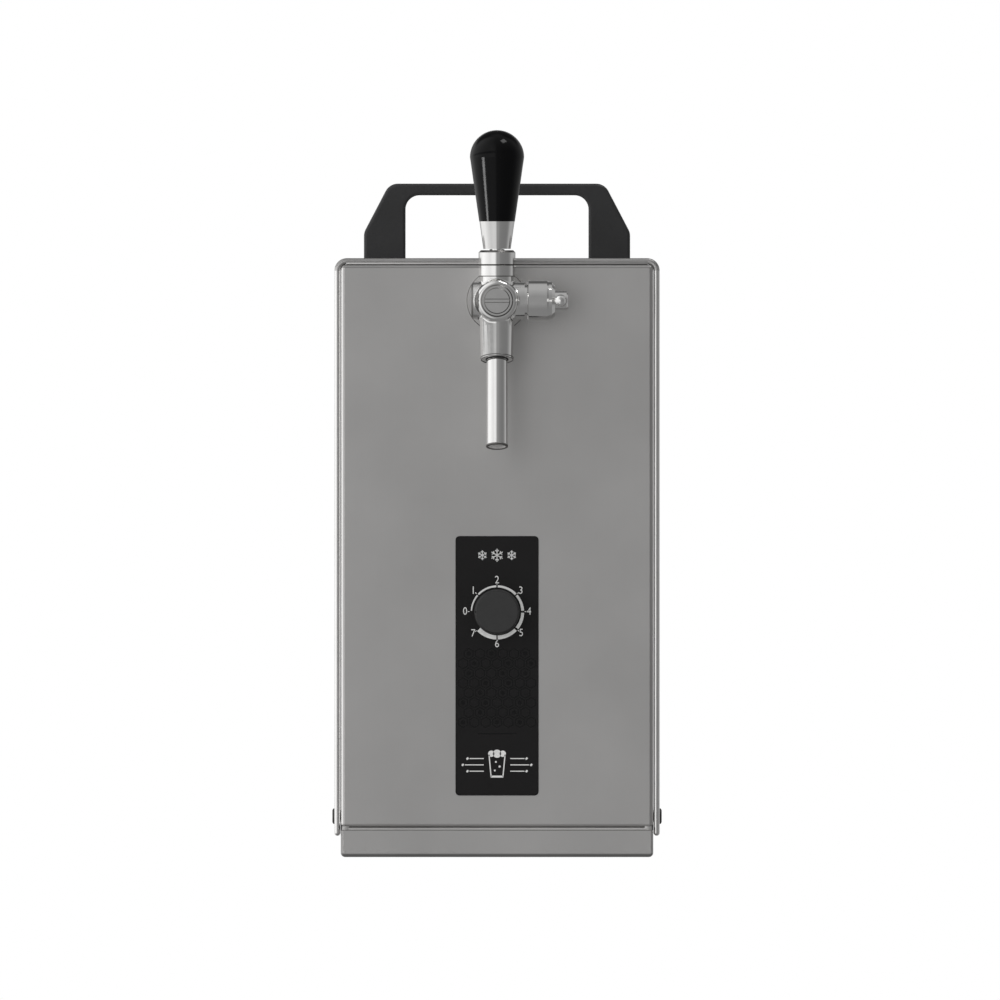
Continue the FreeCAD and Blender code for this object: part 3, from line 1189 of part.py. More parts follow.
def fan():
    axis = ("0", "fan_height")
    half = "fan_size / 2"
    frame = box(
        "fan_square", (f"-{half}", half), (fan_front, back_inside),
        (f"fan_height - {half}", f"fan_height + {half}"))
    bore = cylinder(
        "fan_tunnel", "y", axis, "fan_bore", (f"{fan_front} - overrun", f"{back_inside} + overrun"))
    holes = [
        cylinder(
            "fan_screw_hole", "y",
            (f"{across} * fan_hole_spread", f"fan_height + {up} * fan_hole_spread"), screw_hole,
            (f"{fan_front} - overrun", f"{back_inside} + overrun"))
        for across in (-1, 1) for up in (-1, 1)]
    ring = cut("fan_ring", frame, bore, *holes)
    boss = cylinder(
        "fan_boss", "y", axis, "fan_hub - overrun", (fan_front, f"{fan_front} + fan_boss_depth"))
    axle = cylinder(
        "fan_axle_pin", "y", axis, "fan_axle", (fan_front, f"{fan_front} + fan_boss_depth + 10"))
    struts = []
    for turn in (45, 135, 225, 315):
        strut = doc.addObject("Part::Box", "fan_strut_bar")
        bind(strut, Length="fan_bore - 5", Width="fan_boss_depth", Height="fan_strut")
        strut.Placement = Placement(Vector(), Rotation(Vector(0, 1, 0), turn))
        bind(strut, Placement_dot_Base_dot_x=f"10 * cos({turn} deg)", Placement_dot_Base_dot_y=fan_front,
             Placement_dot_Base_dot_z=f"fan_height - 10 * sin({turn} deg)")
        struts.append(strut)
    node("fan_frame", fuse("fan_frame", ring, boss, axle, *struts))
    hub_front = f"({fan_front} + fan_boss_depth + 0.5)"
    hub = turned(
        "fan_hub_cup", "y", axis,
        [
            ("fan_axle + running_gap", hub_front), ("fan_hub", hub_front),
            ("fan_hub", f"{hub_front} + fan_hub_depth - 1.5"),
            ("fan_hub - 1.5", f"{hub_front} + fan_hub_depth"), ("0", f"{hub_front} + fan_hub_depth"),
            ("0", f"{hub_front} + 9.9"), ("fan_axle + running_gap", f"{hub_front} + 9.9")])
    blades = []
    count = int(value("fan_blades"))
    for index in range(count):
        turn = Rotation(Vector(0, 1, 0), 360 / count * index)
        pitch = Rotation(Vector(1, 0, 0), value("blade_pitch"))
        blade = doc.addObject("Part::Box", "fan_blade")
        bind(blade, Length="fan_tip - fan_hub + 3", Width="blade_width", Height="blade_plate")
        offset = turn.multVec(Vector(value("fan_hub - 3"), 0, 0) + pitch.multVec(
            Vector(0, value("-blade_width / 2"), value("-blade_plate / 2"))))
        blade.Placement = Placement(offset, turn.multiply(pitch))
        bind(blade, Placement_dot_Base_dot_y=f"{hub_front} + fan_hub_depth / 2 + {offset.y}",
             Placement_dot_Base_dot_z=f"fan_height + {offset.z}")
        blades.append(blade)
    node("fan_rotor", fuse("fan_rotor", hub, *blades))
    screws = []
    for across in (-1, 1):
        for up in (-1, 1):
            place = (f"{across} * fan_hole_spread", f"fan_height + {up} * fan_hole_spread")
            screws.append(turned(
                "fan_screw", "y", place,
                [
                    ("0", f"{back} + screw_head_height"),
                    ("screw_head_radius * 0.7", f"{back} + screw_head_height"),
                    ("screw_head_radius", f"{back} + screw_head_height * 0.5"),
                    ("screw_head_radius", back), ("screw_radius", back),
                    ("screw_radius", f"{fan_front} - overrun"), ("0", f"{fan_front} - overrun")]))
    return screws


def air_pump():
    left = "(-port_spread - pump_width / 2)"
    right = "(-port_spread + pump_width / 2)"
    rear = f"({back_inside} - pump_back_gap)"
    face = f"({rear} - pump_depth)"
    shelf = box("bracket_shelf", (left, right), (f"{face} - 4", back_inside),
                ("bracket_height - bracket_plate", "bracket_height"))
    flange = box("bracket_flange_plate", (left, right), (f"{back_inside} - bracket_plate", back_inside),
                 ("bracket_height - bracket_flange", "bracket_height"))
    node("pump_bracket", fuse("pump_bracket", shelf, flange))
    low = "(bracket_height + pump_foot)"
    case = plate(
        "pump_case", "y",
        [(left, low), (right, low), (right, f"{low} + pump_tall"), (left, f"{low} + pump_tall")],
        (face, rear))
    rounded(case, "pump_case_edges", "5", lambda edge: edge.BoundBox.YLength > near)
    feet = [
        cylinder(
            "pump_foot_pad", "z", (x, y), "pump_foot_radius", ("bracket_height", f"{low} + overrun"))
        for x in (f"{left} + 10", f"{right} - 10") for y in (f"{face} + 8", f"{rear} - 8")]
    nozzle_y = f"({face} + 14)"
    nozzle = cylinder("pump_nozzle", "z", ("-port_spread", nozzle_y), "nozzle_radius",
                      (f"{low} + pump_tall - overrun", f"{low} + pump_tall + nozzle_length"))
    node("air_pump", fuse("air_pump", case, nozzle, *feet))
    hose_low = f"{low} + pump_tall + 0.2"
    outer = pipe(
        "air_hose_outer",
        [
            ("-port_spread", nozzle_y, hose_low), ("-port_spread", nozzle_y, "port_height"),
            ("-port_spread", f"{back} - port_inner", "port_height")],
        "hose_radius", "tube_bend")
    inner = pipe(
        "air_hose_bore",
        [
            ("-port_spread", nozzle_y, hose_low), ("-port_spread", nozzle_y, "port_height"),
            ("-port_spread", f"{back} - port_inner", "port_height")],
        "nozzle_radius + running_gap", "tube_bend")
    node("air_hose", cut("air_hose", outer, inner))


def rear_ports():
    ports = []
    inner = f"({back} - port_inner)"
    outer = f"({back} + port_proud)"
    for across in (-1, 1):
        axis = (f"{across} * port_spread", "port_height")
        ports.append(turned(
            "port_fitting", "y", axis,
            [
                ("port_throat", inner), ("port_radius - 3", inner),
                ("port_radius - 3", f"{back_inside} - port_nut - 2"),
                ("port_radius + 1.5", f"{back_inside} - port_nut - 2"),
                ("port_radius + 1.5", back_inside), ("port_radius", back_inside), ("port_radius", back),
                ("port_flange_radius", back), ("port_flange_radius", f"{back} + port_flange"),
                ("port_radius", f"{back} + port_flange"), ("port_radius", f"{outer} - 0.8"),
                ("port_radius - 0.8", outer), ("collet_bore", outer),
                ("collet_bore", f"{outer} - collet_depth - 0.5"),
                ("port_bore", f"{outer} - collet_depth - 0.5"),
                ("port_bore", f"{outer} - collet_depth - 6"),
                ("port_throat", f"{outer} - collet_depth - 6")]))
    node("port_fittings", group("port_fittings", *ports))
    for name, across in (("beer_inlet_collet", 1), ("air_outlet_collet", -1)):
        head = f"({outer} + collet_proud)"
        node(
            name,
            turned(
                name, "y", (f"{across} * port_spread", "port_height"),
                [
                    ("port_bore", f"{outer} - collet_depth + 2"),
                    ("collet_radius", f"{outer} - collet_depth + 2"), ("collet_radius", head),
                    ("collet_head", head), ("collet_head", f"{head} + collet_head_height - 0.5"),
                    ("collet_head - 0.5", f"{head} + collet_head_height"),
                    ("port_bore + 0.6", f"{head} + collet_head_height"),
                    ("port_bore", f"{head} + collet_head_height - 0.6")]))


def switches():
    bodies = []
    rim = f"({back} + switch_rim)"
    for name, across in (("main_switch_rocker", -1), ("pump_switch_rocker", 1)):
        place = f"({across} * switch_spread)"
        half = "(switch_width / 2 - 0.1)"
        tall = "(switch_tall / 2 - 0.1)"
        bezel = box("switch_bezel", (f"{place} - {half} - 1.4", f"{place} + {half} + 1.4"), (back, rim),
                    (f"switch_height - {tall} - 1.4", f"switch_height + {tall} + 1.4"))
        case = box(
            "switch_case", (f"{place} - {half}", f"{place} + {half}"),
            (f"{back} - switch_depth", f"{back} + overrun"),
            (f"switch_height - {tall}", f"switch_height + {tall}"))
        well = box("switch_well", (f"{place} - {half} + switch_wall", f"{place} + {half} - switch_wall"),
                   (f"{back} - switch_depth + 2", f"{rim} + overrun"),
                   (f"switch_height - rocker_radius - rocker_gap",
                    f"switch_height + rocker_radius + rocker_gap"))
        pivot_y = f"({rim} - 2.6)"
        pin = cylinder("switch_pin", "x", (pivot_y, "switch_height"), "rocker_pin",
                       (f"{place} - {half} + switch_wall - 0.5", f"{place} + {half} - switch_wall + 0.5"))
        bodies.append(fuse("switch_body", cut("switch_hollow", fuse("switch_solid", bezel, case), well),
                           pin))
        span = (f"{place} - {half} + switch_wall + rocker_gap",
                f"{place} + {half} - switch_wall - rocker_gap")
        rocker = plate(name + "_blank", "x",
                       [(f"{pivot_y} - 5", "switch_height - 3"), (f"{pivot_y} - 5", "switch_height + 3"),
                        (f"{pivot_y} + 1.2", "switch_height + rocker_radius * 0.93"),
                        (f"{pivot_y} + 4.0", "switch_height + rocker_radius * 0.9"),
                        (f"{pivot_y} + 2.2", "switch_height"),
                        (f"{pivot_y} + 4.0", "switch_height - rocker_radius * 0.9"),
                        (f"{pivot_y} + 1.2", "switch_height - rocker_radius * 0.93")], span)
        bore = cylinder(name + "_bore", "x", (pivot_y, "switch_height"), "rocker_pin + running_gap",
                        (f"{place} - switch_width", f"{place} + switch_width"))
        pressed = cut(name, rocker, bore)
        pressed.Placement = Placement(Vector(), Rotation(Vector(1, 0, 0), -value("rocker_tilt")),
                                      Vector(0, value(pivot_y), value("switch_height")))
        node(name, pressed)
    node("switch_bodies", group("switch_bodies", *bodies))


def power_inlet(fan_screws):
    wide = "(inlet_mouth_width / 2)"
    tall = "(inlet_mouth_tall / 2)"
    rim = box(
        "inlet_flange", ("inlet_side - inlet_width / 2", "inlet_side + inlet_width / 2"),
        (back, f"{back} + inlet_rim"),
        ("inlet_height - inlet_tall / 2", "inlet_height + inlet_tall / 2"))
    wall = "(inlet_wall - 0.15)"
    case = box(
        "inlet_case", (f"inlet_side - {wide} - {wall}", f"inlet_side + {wide} + {wall}"),
        (f"{back} - inlet_depth", f"{back} + overrun"),
        (f"inlet_height - {tall} - {wall}", f"inlet_height + {tall} + {wall}"))
    mouth = plate("inlet_mouth", "y", [(f"inlet_side - {wide}", f"inlet_height - {tall}"),
                                       (f"inlet_side + {wide}", f"inlet_height - {tall}"),
                                       (f"inlet_side + {wide}", f"inlet_height + {tall} - 5"),
                                       (f"inlet_side + {wide} - 5", f"inlet_height + {tall}"),
                                       (f"inlet_side - {wide} + 5", f"inlet_height + {tall}"),
                                       (f"inlet_side - {wide}", f"inlet_height + {tall} - 5")],
                  (f"{back} + inlet_rim - inlet_mouth_depth", f"{back} + inlet_rim + overrun"))
    holes = [
        cylinder(
            "inlet_screw_hole", "y", (f"inlet_side + {across} * (inlet_width / 2 - 4)", "inlet_height"),
            screw_hole, (f"{back} - overrun", f"{back} + inlet_rim + overrun"))
        for across in (-1, 1)]
    hollow = cut("inlet_hollow", fuse("inlet_solid", rim, case), mouth, *holes)
    blades = []
    for across, up in ((-1, -2), (0, 2), (1, -2)):
        x = f"(inlet_side + {across} * inlet_blade_spread)"
        blades.append(box("inlet_blade", (f"{x} - inlet_blade / 2", f"{x} + inlet_blade / 2"),
                          (f"{back} + inlet_rim - inlet_mouth_depth - overrun",
                           f"{back} + inlet_rim - 3"),
                          (f"inlet_height + {up} - inlet_blade_width / 2",
                           f"inlet_height + {up} + inlet_blade_width / 2")))
    node("power_inlet", fuse("power_inlet", hollow, *blades))
    screws = fan_screws
    for across in (-1, 1):
        screws.append(turned(
            "inlet_screw", "y", (f"inlet_side + {across} * (inlet_width / 2 - 4)", "inlet_height"),
            [
                ("0", f"{back} + inlet_rim + 1.6"),
                ("screw_head_radius - 0.8", f"{back} + inlet_rim + 1.6"),
                ("screw_head_radius", f"{back} + inlet_rim + 0.8"),
                ("screw_head_radius", f"{back} + inlet_rim"), ("screw_radius", f"{back} + inlet_rim"),
                ("screw_radius", f"{back} - 6"), ("0", f"{back} - 6")]))
    node("rear_screws", group("rear_screws", *screws))


node("base_tray", base_tray())
node("front_panel", front_panel())
node("rear_panel", rear_panel())
node("cover", cover())
casing_screws()
node("carry_handle", carry_handle())
node("lifting_frame", lifting_frame())
frame_fasteners()
node("control_label", control_label())
thermostat()
tap_mounting()
node("tap_body", tap_body())
tap_fittings()
tap_lever()
valve()
compensator()
cold_block()
node("foam_case", foam_case())
compressor()
condenser()
fan_screws = fan()
air_pump()
rear_ports()
switches()
power_inlet(fan_screws)
doc.recompute()

for thing in doc.Objects:
    if "Invalid" in thing.State or "Error" in thing.State:
        raise RuntimeError(f"{thing.Label} did not compute: {thing.getStatusString()}")
for name, piece in nodes.items():
    if piece.Shape.isNull() or not piece.Shape.isValid():
        raise RuntimeError(f"{name} has no valid shape")
for name, piece in nodes.items():
    piece.Shape.exportStep(f"parts/{name}.step")
print(len(nodes), "pieces written")
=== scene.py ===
# Counter-top beer cooler: satin steel casing, chrome tap, black handle and thermostat label.
import json
import math

import bpy
from mathutils import Matrix, Vector


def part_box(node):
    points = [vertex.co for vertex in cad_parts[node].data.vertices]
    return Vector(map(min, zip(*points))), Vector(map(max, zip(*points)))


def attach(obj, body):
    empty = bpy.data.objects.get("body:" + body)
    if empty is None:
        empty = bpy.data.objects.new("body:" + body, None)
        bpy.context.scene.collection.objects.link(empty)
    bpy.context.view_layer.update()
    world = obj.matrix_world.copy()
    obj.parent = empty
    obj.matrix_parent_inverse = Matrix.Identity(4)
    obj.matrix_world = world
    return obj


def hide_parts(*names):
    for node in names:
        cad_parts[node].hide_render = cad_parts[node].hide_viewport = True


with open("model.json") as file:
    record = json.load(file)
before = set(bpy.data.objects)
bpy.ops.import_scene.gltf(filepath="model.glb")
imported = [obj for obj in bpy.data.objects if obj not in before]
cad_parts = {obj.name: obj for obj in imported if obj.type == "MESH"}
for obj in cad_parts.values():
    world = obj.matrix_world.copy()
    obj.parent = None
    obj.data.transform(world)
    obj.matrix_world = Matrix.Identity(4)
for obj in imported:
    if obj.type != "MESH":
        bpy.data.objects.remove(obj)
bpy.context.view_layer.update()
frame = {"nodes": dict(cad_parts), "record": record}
nodes = frame["nodes"]
print("frame loaded:", len(nodes), "pieces of the model")

cameraSetting = {
    "width": 0.538,  # what the picture spans, metres
    "middleX": 0.0016,
    "middleZ": 0.1921,
    "distance": 2.6,
    "seesTo": 30.0,
}

lightSetting = {
    "shade": 0.6,  # level that the room gives matt surfaces
    "background": 1.0,  # and that cameras, reflections and glass see
    "keyStrip": {"place": (-2.6, -1.5, 0.9), "size": (0.9, 1.6), "watts": 24.0, "mirrored": False},
    "topBox": {"place": (0.89, -0.59, 2.61), "size": (0.8, 0.6), "watts": 9.0, "mirrored": True},
    "aim": (0.0, -0.1, 0.22),
    "knobStrip": {"place": (-0.443, -0.409, 0.195), "size": (0.1, 0.13), "watts": 0.7, "mirrored": True},
    "knobAim": (0.0, -0.18, 0.195),
}

mirrorRoom = {  # what metal mirrors, by degrees round from the front towards +X and by degrees up
    "radius": 5.0,
    "middle": (0.0, 0.0, 0.2),
    "grid": (256, 192),
    "round": [  # the level, by degrees round
        (-180, 0.42), (-150, 0.42), (-138, 0.8), (-121, 0.98), (-90, 1.12), (-66, 0.97), (-45, 0.86),
        (-25, 0.97), (-12, 0.93), (-8, 0.75), (-4, 0.42), (0, 0.28), (12, 0.27), (18, 0.22), (32, 0.2),
        (52, 0.19), (73, 0.19), (85, 0.24), (99, 0.38), (120, 0.42), (135, 0.38), (150, 0.36), (180, 0.42),
    ],
    "ceiling": 0.42,
    "above": [(-90, 0.0), (25, 0.0), (70, 1.0), (90, 1.0)],  # the ceiling's share, by degrees up
    "aboveLater": [  # how many degrees higher the ceiling starts, by degrees round
        (-180, 0), (-130, 0), (-110, 24), (-40, 24), (-15, 0), (180, 0),
    ],
    "floor": 0.22,
    "below": [(-90, 1.0), (-45, 1.0), (-22, 0.25), (-17, 0.0), (90, 0.0)],  # the floor's share
    "dipLevel": 0.3,  # a dim zone under the horizon, from the left round to the front
    "dip": [(-90, 0.0), (-30, 0.0), (-20, 0.45), (-14, 0.45), (-9, 0.22), (-3, 0.0), (90, 0.0)],
    "dipRound": [(-180, 0.3), (-125, 0.3), (-115, 1.0), (-12, 1.0), (-4, 0.0), (180, 0.0)],
    "backLevel": 0.1,  # a dark corner over the rear
    "backUp": [(-90, 0.0), (22, 0.0), (32, 1.0), (60, 1.0), (76, 0.0), (90, 0.0)],
    "backRound": [(-180, 1.0), (-130, 1.0), (-112, 0.0), (112, 0.0), (130, 1.0), (180, 1.0)],
    "archLeast": 0.05,  # keeps the arch's height finite at the rear
    "band": [  # a dim bar arched over the left, by height in the arch
        (-9, 0.0), (0.3, 0.0), (0.36, 1.0), (0.474, 1.0), (0.498, 0.0), (9, 0.0),
    ],
    "bandRound": [
        (-180, 0.0), (-128, 0.0), (-112, 0.62), (-90, 0.62), (-30, 0.62), (-8, 0.4), (0, 0.0), (180, 0.0),
    ],
}

paleFloor = {"size": 12, "height": -0.0005, "level": 0.9, "rough": 0.8, "shine": 0.2}


def clearSelection():
    if bpy.context.object and bpy.context.object.mode != "OBJECT":
        bpy.ops.object.mode_set(mode="OBJECT")
    bpy.ops.object.select_all(action="DESELECT")


def setCamera(setting):
    bpy.ops.object.camera_add(
        location=(setting["middleX"], -setting["distance"], setting["middleZ"]),
        rotation=(math.radians(90), 0, 0),
    )
    camera = bpy.context.object
    camera.name = "frontCamera"
    camera.data.type = "ORTHO"
    camera.data.ortho_scale = setting["width"]
    camera.data.clip_end = setting["seesTo"]
    bpy.context.scene.camera = camera


def hangLamp(name, box, aim):
    place = Vector(box["place"])
    turn = (Vector(aim) - place).to_track_quat("-Z", "Y").to_euler()
    bpy.ops.object.light_add(type="AREA", location=place, rotation=turn)
    lamp = bpy.context.object
    lamp.name = name
    lamp.data.shape = "RECTANGLE"
    lamp.data.size, lamp.data.size_y = box["size"]
    lamp.data.energy = box["watts"]
    lamp.visible_glossy = box["mirrored"]
    lamp.visible_camera = False
    return lamp


def lightRoom(setting):
    world = bpy.data.worlds.new("studioRoom")
    world.use_nodes = True
    bpy.context.scene.world = world
    tree = world.node_tree
    tree.nodes.clear()
    path = tree.nodes.new("ShaderNodeLightPath")
    mix = tree.nodes.new("ShaderNodeMixShader")
    output = tree.nodes.new("ShaderNodeOutputWorld")
    seen = path.outputs["Is Camera Ray"]
    for ray in ("Is Glossy Ray", "Is Transmission Ray"):
        either = tree.nodes.new("ShaderNodeMath")
        either.operation = "MAXIMUM"
        tree.links.new(seen, either.inputs[0])
        tree.links.new(path.outputs[ray], either.inputs[1])
        seen = either.outputs[0]
    tree.links.new(seen, mix.inputs["Fac"])
    for socket, level in ((1, setting["shade"]), (2, setting["background"])):
        glow = tree.nodes.new("ShaderNodeBackground")
        glow.inputs["Color"].default_value = (1, 1, 1, 1)
        glow.inputs["Strength"].default_value = level
        tree.links.new(glow.outputs[0], mix.inputs[socket])
    tree.links.new(mix.outputs[0], output.inputs["Surface"])
    hangLamp("keyStrip", setting["keyStrip"], setting["aim"])
    hangLamp("topBox", setting["topBox"], setting["aim"])
    strip = hangLamp("knobStrip", setting["knobStrip"], setting["knobAim"])
    litByStrip = bpy.data.collections.new("litByStrip")  # this strip lights the tap's knob alone
    litByStrip.objects.link(nodes["tap_knob"])
    strip.light_linking.receiver_collection = litByStrip


def between(table, place):
    for (low, levelLow), (high, levelHigh) in zip(table, table[1:]):
        if place <= high:
            return levelLow + (levelHigh - levelLow) * (place - low) / (high - low)
    return table[-1][1]


def mirrorLevel(room, turn, rise):
    level = between(room["round"], turn)
    level += (room["dipLevel"] - level) * between(room["dip"], rise) * between(room["dipRound"], turn)
    level += (room["floor"] - level) * between(room["below"], rise)
    width = max(math.cos(math.radians(turn / 2)) ** 2, room["archLeast"])
    arch = math.sin(math.radians(rise)) / width
    level *= 1 - between(room["band"], arch) * between(room["bandRound"], turn)
    ceilingShare = between(room["above"], rise - between(room["aboveLater"], turn))
    level += (room["ceiling"] - level) * ceilingShare
    backShare = between(room["backUp"], rise) * between(room["backRound"], turn)
    return level + (room["backLevel"] - level) * backShare


def hangMirrorRoom(room):  # a dome that only reflections see
    clearSelection()
    segments, rings = room["grid"]
    bpy.ops.mesh.primitive_uv_sphere_add(
        segments=segments, ring_count=rings, radius=room["radius"], location=room["middle"])
    dome = bpy.context.object
    dome.name = "mirrorRoom"
    tone = dome.data.color_attributes.new("tone", "FLOAT_COLOR", "POINT")
    for corner, shade in zip(dome.data.vertices, tone.data):
        way = corner.co.normalized()
        turn = math.degrees(math.atan2(way.x, -way.y))
        level = mirrorLevel(room, turn, math.degrees(math.asin(way.z)))
        shade.color = (level, level, level, 1)
    material = bpy.data.materials.new("mirrorRoom")
    material.use_nodes = True
    tree = material.node_tree
    tree.nodes.clear()
    shade = tree.nodes.new("ShaderNodeVertexColor")
    shade.layer_name = "tone"
    glow = tree.nodes.new("ShaderNodeEmission")
    output = tree.nodes.new("ShaderNodeOutputMaterial")
    tree.links.new(shade.outputs["Color"], glow.inputs["Color"])
    tree.links.new(glow.outputs[0], output.inputs["Surface"])
    dome.data.materials.append(material)
    dome.visible_camera = False
    dome.visible_diffuse = False
    dome.visible_shadow = False
    dome.visible_transmission = False


def layFloor(look):
    clearSelection()
    bpy.ops.mesh.primitive_plane_add(size=look["size"], location=(0, 0, look["height"]))
    floor = bpy.context.object
    floor.name = "paleFloor"
    material = bpy.data.materials.new("paleFloor")
    material.use_nodes = True
    shader = material.node_tree.nodes["Principled BSDF"]
    shader.inputs["Base Color"].default_value = (look["level"], look["level"], look["level"], 1)
    shader.inputs["Roughness"].default_value = look["rough"]
    shader.inputs["Specular IOR Level"].default_value = look["shine"]
    floor.data.materials.append(material)
    floor.visible_glossy = False


bpy.context.scene.view_settings.view_transform = "Standard"
setCamera(cameraSetting)
lightRoom(lightSetting)
hangMirrorRoom(mirrorRoom)
layFloor(paleFloor)
print("camera, light and floor ready")

finishes = {
    "satinSteel": {
        "colour": (0.638, 0.63, 0.622), "metal": 1.0, "rough": (0.36, 0.43), "cloud": 14, "tone": 0.05,
        "grain": (500, 500, 9), "grainBump": 0.02,
    },
    # a lighter copy of the satin steel, painted highlight: on the front's side folds and on the tap's left
    # stub
    "highlightSteel": {
        "colour": (0.97, 0.96, 0.95), "metal": 1.0, "rough": (0.22, 0.3), "cloud": 30, "tone": 0.04,
        "grain": (500, 500, 9), "grainBump": 0.02,
    },
    # a darker copy of the satin steel, painted shade on the front folds
    "foldShadeSteel": {
        "colour": (0.4, 0.395, 0.39), "metal": 1.0, "rough": (0.38, 0.46), "cloud": 30, "tone": 0.05,
        "grain": (500, 500, 9), "grainBump": 0.02,
    },
    "trimSteel": {
        "colour": (0.66, 0.652, 0.645), "metal": 1.0, "rough": (0.26, 0.34), "cloud": 30, "tone": 0.04,
        "grain": (60, 60, 900), "grainBump": 0.02,
    },
    "chrome": {
        "colour": (0.88, 0.875, 0.865), "metal": 1.0, "rough": (0.04, 0.1), "cloud": 90, "tone": 0.02,
        "grain": (300, 300, 300), "peel": 160, "peelBump": 0.01,
    },
    # dark steel for chamfers, grooves, rings and seam lines: painted shade
    "creaseShadeSteel": {
        "colour": (0.2, 0.195, 0.19), "metal": 1.0, "rough": (0.3, 0.42), "cloud": 200, "tone": 0.08,
        "grain": (900, 900, 900), "grainBump": 0.02, "peel": 400, "peelBump": 0.01,
    },
    "boreSteel": {
        "colour": (0.8, 0.79, 0.78), "metal": 0.4, "rough": (0.5, 0.62), "cloud": 200, "tone": 0.06,
        "grain": (900, 900, 60), "grainBump": 0.03, "peel": 400, "peelBump": 0.01,
    },
    "darkScrew": {
        "colour": (0.09, 0.088, 0.085), "metal": 1.0, "rough": (0.35, 0.5), "cloud": 300, "tone": 0.1,
        "grain": (900, 900, 900), "grainBump": 0.05, "peel": 400, "peelBump": 0.02,
    },
    "zincSteel": {
        "colour": (0.5, 0.49, 0.46), "metal": 1.0, "rough": (0.3, 0.5), "cloud": 60, "tone": 0.12,
        "grain": (250, 250, 250), "grainBump": 0.05, "peel": 120, "peelBump": 0.02,
    },
    "handleBlack": {
        "colour": (0.022, 0.022, 0.023), "metal": 0.0, "rough": (0.34, 0.42), "cloud": 40, "tone": 0.12,
        "grain": (1500, 1500, 1500), "grainBump": 0.08, "peel": 500, "peelBump": 0.06,
    },
    "knobBlack": {
        "colour": (0.0025, 0.0025, 0.0028), "metal": 0.0, "rough": (0.08, 0.16), "cloud": 70, "tone": 0.1,
        "shine": 0.14, "grain": (400, 400, 400), "grainBump": 0.01, "peel": 120, "peelBump": 0.01,
    },
    "dialGrey": {
        "colour": (0.028, 0.028, 0.028), "metal": 0.0, "rough": (0.55, 0.65), "cloud": 150, "tone": 0.06,
        "grain": (2500, 2500, 2500), "grainBump": 0.12, "peel": 900, "peelBump": 0.05,
    },
    "labelFilm": {
        "colour": (0.0078, 0.0072, 0.0075), "metal": 0.0, "rough": (0.42, 0.5), "cloud": 60, "tone": 0.08,
        "shine": 0.25, "grain": (3000, 3000, 3000), "grainBump": 0.05, "peel": 700, "peelBump": 0.02,
    },
    "printSilver": {
        "colour": (0.82, 0.82, 0.81), "metal": 0.15, "rough": (0.34, 0.42), "cloud": 200, "tone": 0.06,
        "grain": (3500, 3500, 3500), "grainBump": 0.04, "peel": 900, "peelBump": 0.02,
    },
    "printGloss": {
        "colour": (0.0022, 0.0022, 0.0024), "metal": 0.0, "rough": (0.16, 0.24), "cloud": 200, "tone": 0.08,
        "shine": 0.3, "grain": (3500, 3500, 3500), "grainBump": 0.02, "peel": 900, "peelBump": 0.01,
    },
    "switchBlack": {
        "colour": (0.016, 0.016, 0.016), "metal": 0.0, "rough": (0.3, 0.4), "cloud": 120, "tone": 0.1,
        "grain": (2200, 2200, 2200), "grainBump": 0.08, "peel": 700, "peelBump": 0.03,
    },
    "copper": {
        "colour": (0.72, 0.36, 0.23), "metal": 1.0, "rough": (0.22, 0.42), "cloud": 45, "tone": 0.25,
        "grain": (150, 150, 150), "grainBump": 0.05, "peel": 90, "peelBump": 0.03,
    },
    "compressorBlack": {
        "colour": (0.02, 0.02, 0.021), "metal": 0.0, "rough": (0.25, 0.38), "cloud": 35, "tone": 0.15,
        "grain": (500, 500, 500), "grainBump": 0.06, "peel": 200, "peelBump": 0.08,
    },
    "rubberBlack": {
        "colour": (0.018, 0.018, 0.018), "metal": 0.0, "rough": (0.6, 0.75), "cloud": 90, "tone": 0.15,
        "grain": (1800, 1800, 1800), "grainBump": 0.1, "peel": 400, "peelBump": 0.04,
    },
    "aluminium": {
        "colour": (0.75, 0.755, 0.76), "metal": 1.0, "rough": (0.28, 0.42), "cloud": 50, "tone": 0.08,
        "grain": (40, 700, 700), "grainBump": 0.05,
    },
    "foamWhite": {
        "colour": (0.72, 0.71, 0.66), "metal": 0.0, "rough": (0.8, 0.9), "cloud": 40, "tone": 0.06,
        "grain": (900, 900, 900), "grainBump": 0.3, "peel": 260, "peelBump": 0.4,
    },
    "hoseClear": {
        "colour": (0.62, 0.66, 0.68), "metal": 0.0, "rough": (0.18, 0.3), "cloud": 60, "tone": 0.05,
        "grain": (900, 900, 900), "grainBump": 0.03, "peel": 200, "peelBump": 0.02,
    },
    "fittingGrey": {
        "colour": (0.34, 0.35, 0.36), "metal": 0.0, "rough": (0.38, 0.46), "cloud": 120, "tone": 0.06,
        "grain": (2400, 2400, 2400), "grainBump": 0.08, "peel": 600, "peelBump": 0.03,
    },
    "fittingBlue": {
        "colour": (0.02, 0.12, 0.42), "metal": 0.0, "rough": (0.3, 0.4), "cloud": 120, "tone": 0.06,
        "grain": (2400, 2400, 2400), "grainBump": 0.06, "peel": 600, "peelBump": 0.03,
    },
}

texture = {  # what all finishes share
    "cloudDetail": 4,
    "grainDetail": 3,
    "peelDetail": 2,
    "cloudSpan": (0.3, 0.7),  # where the noise mostly lies, stretched to the finish's own range
    "sumSpan": (0.7, 1.3),  # the same for cloud and grain together
    "grainReach": 0.0002,  # metres
    "peelReach": 0.0006,
    "shine": 0.5,
}


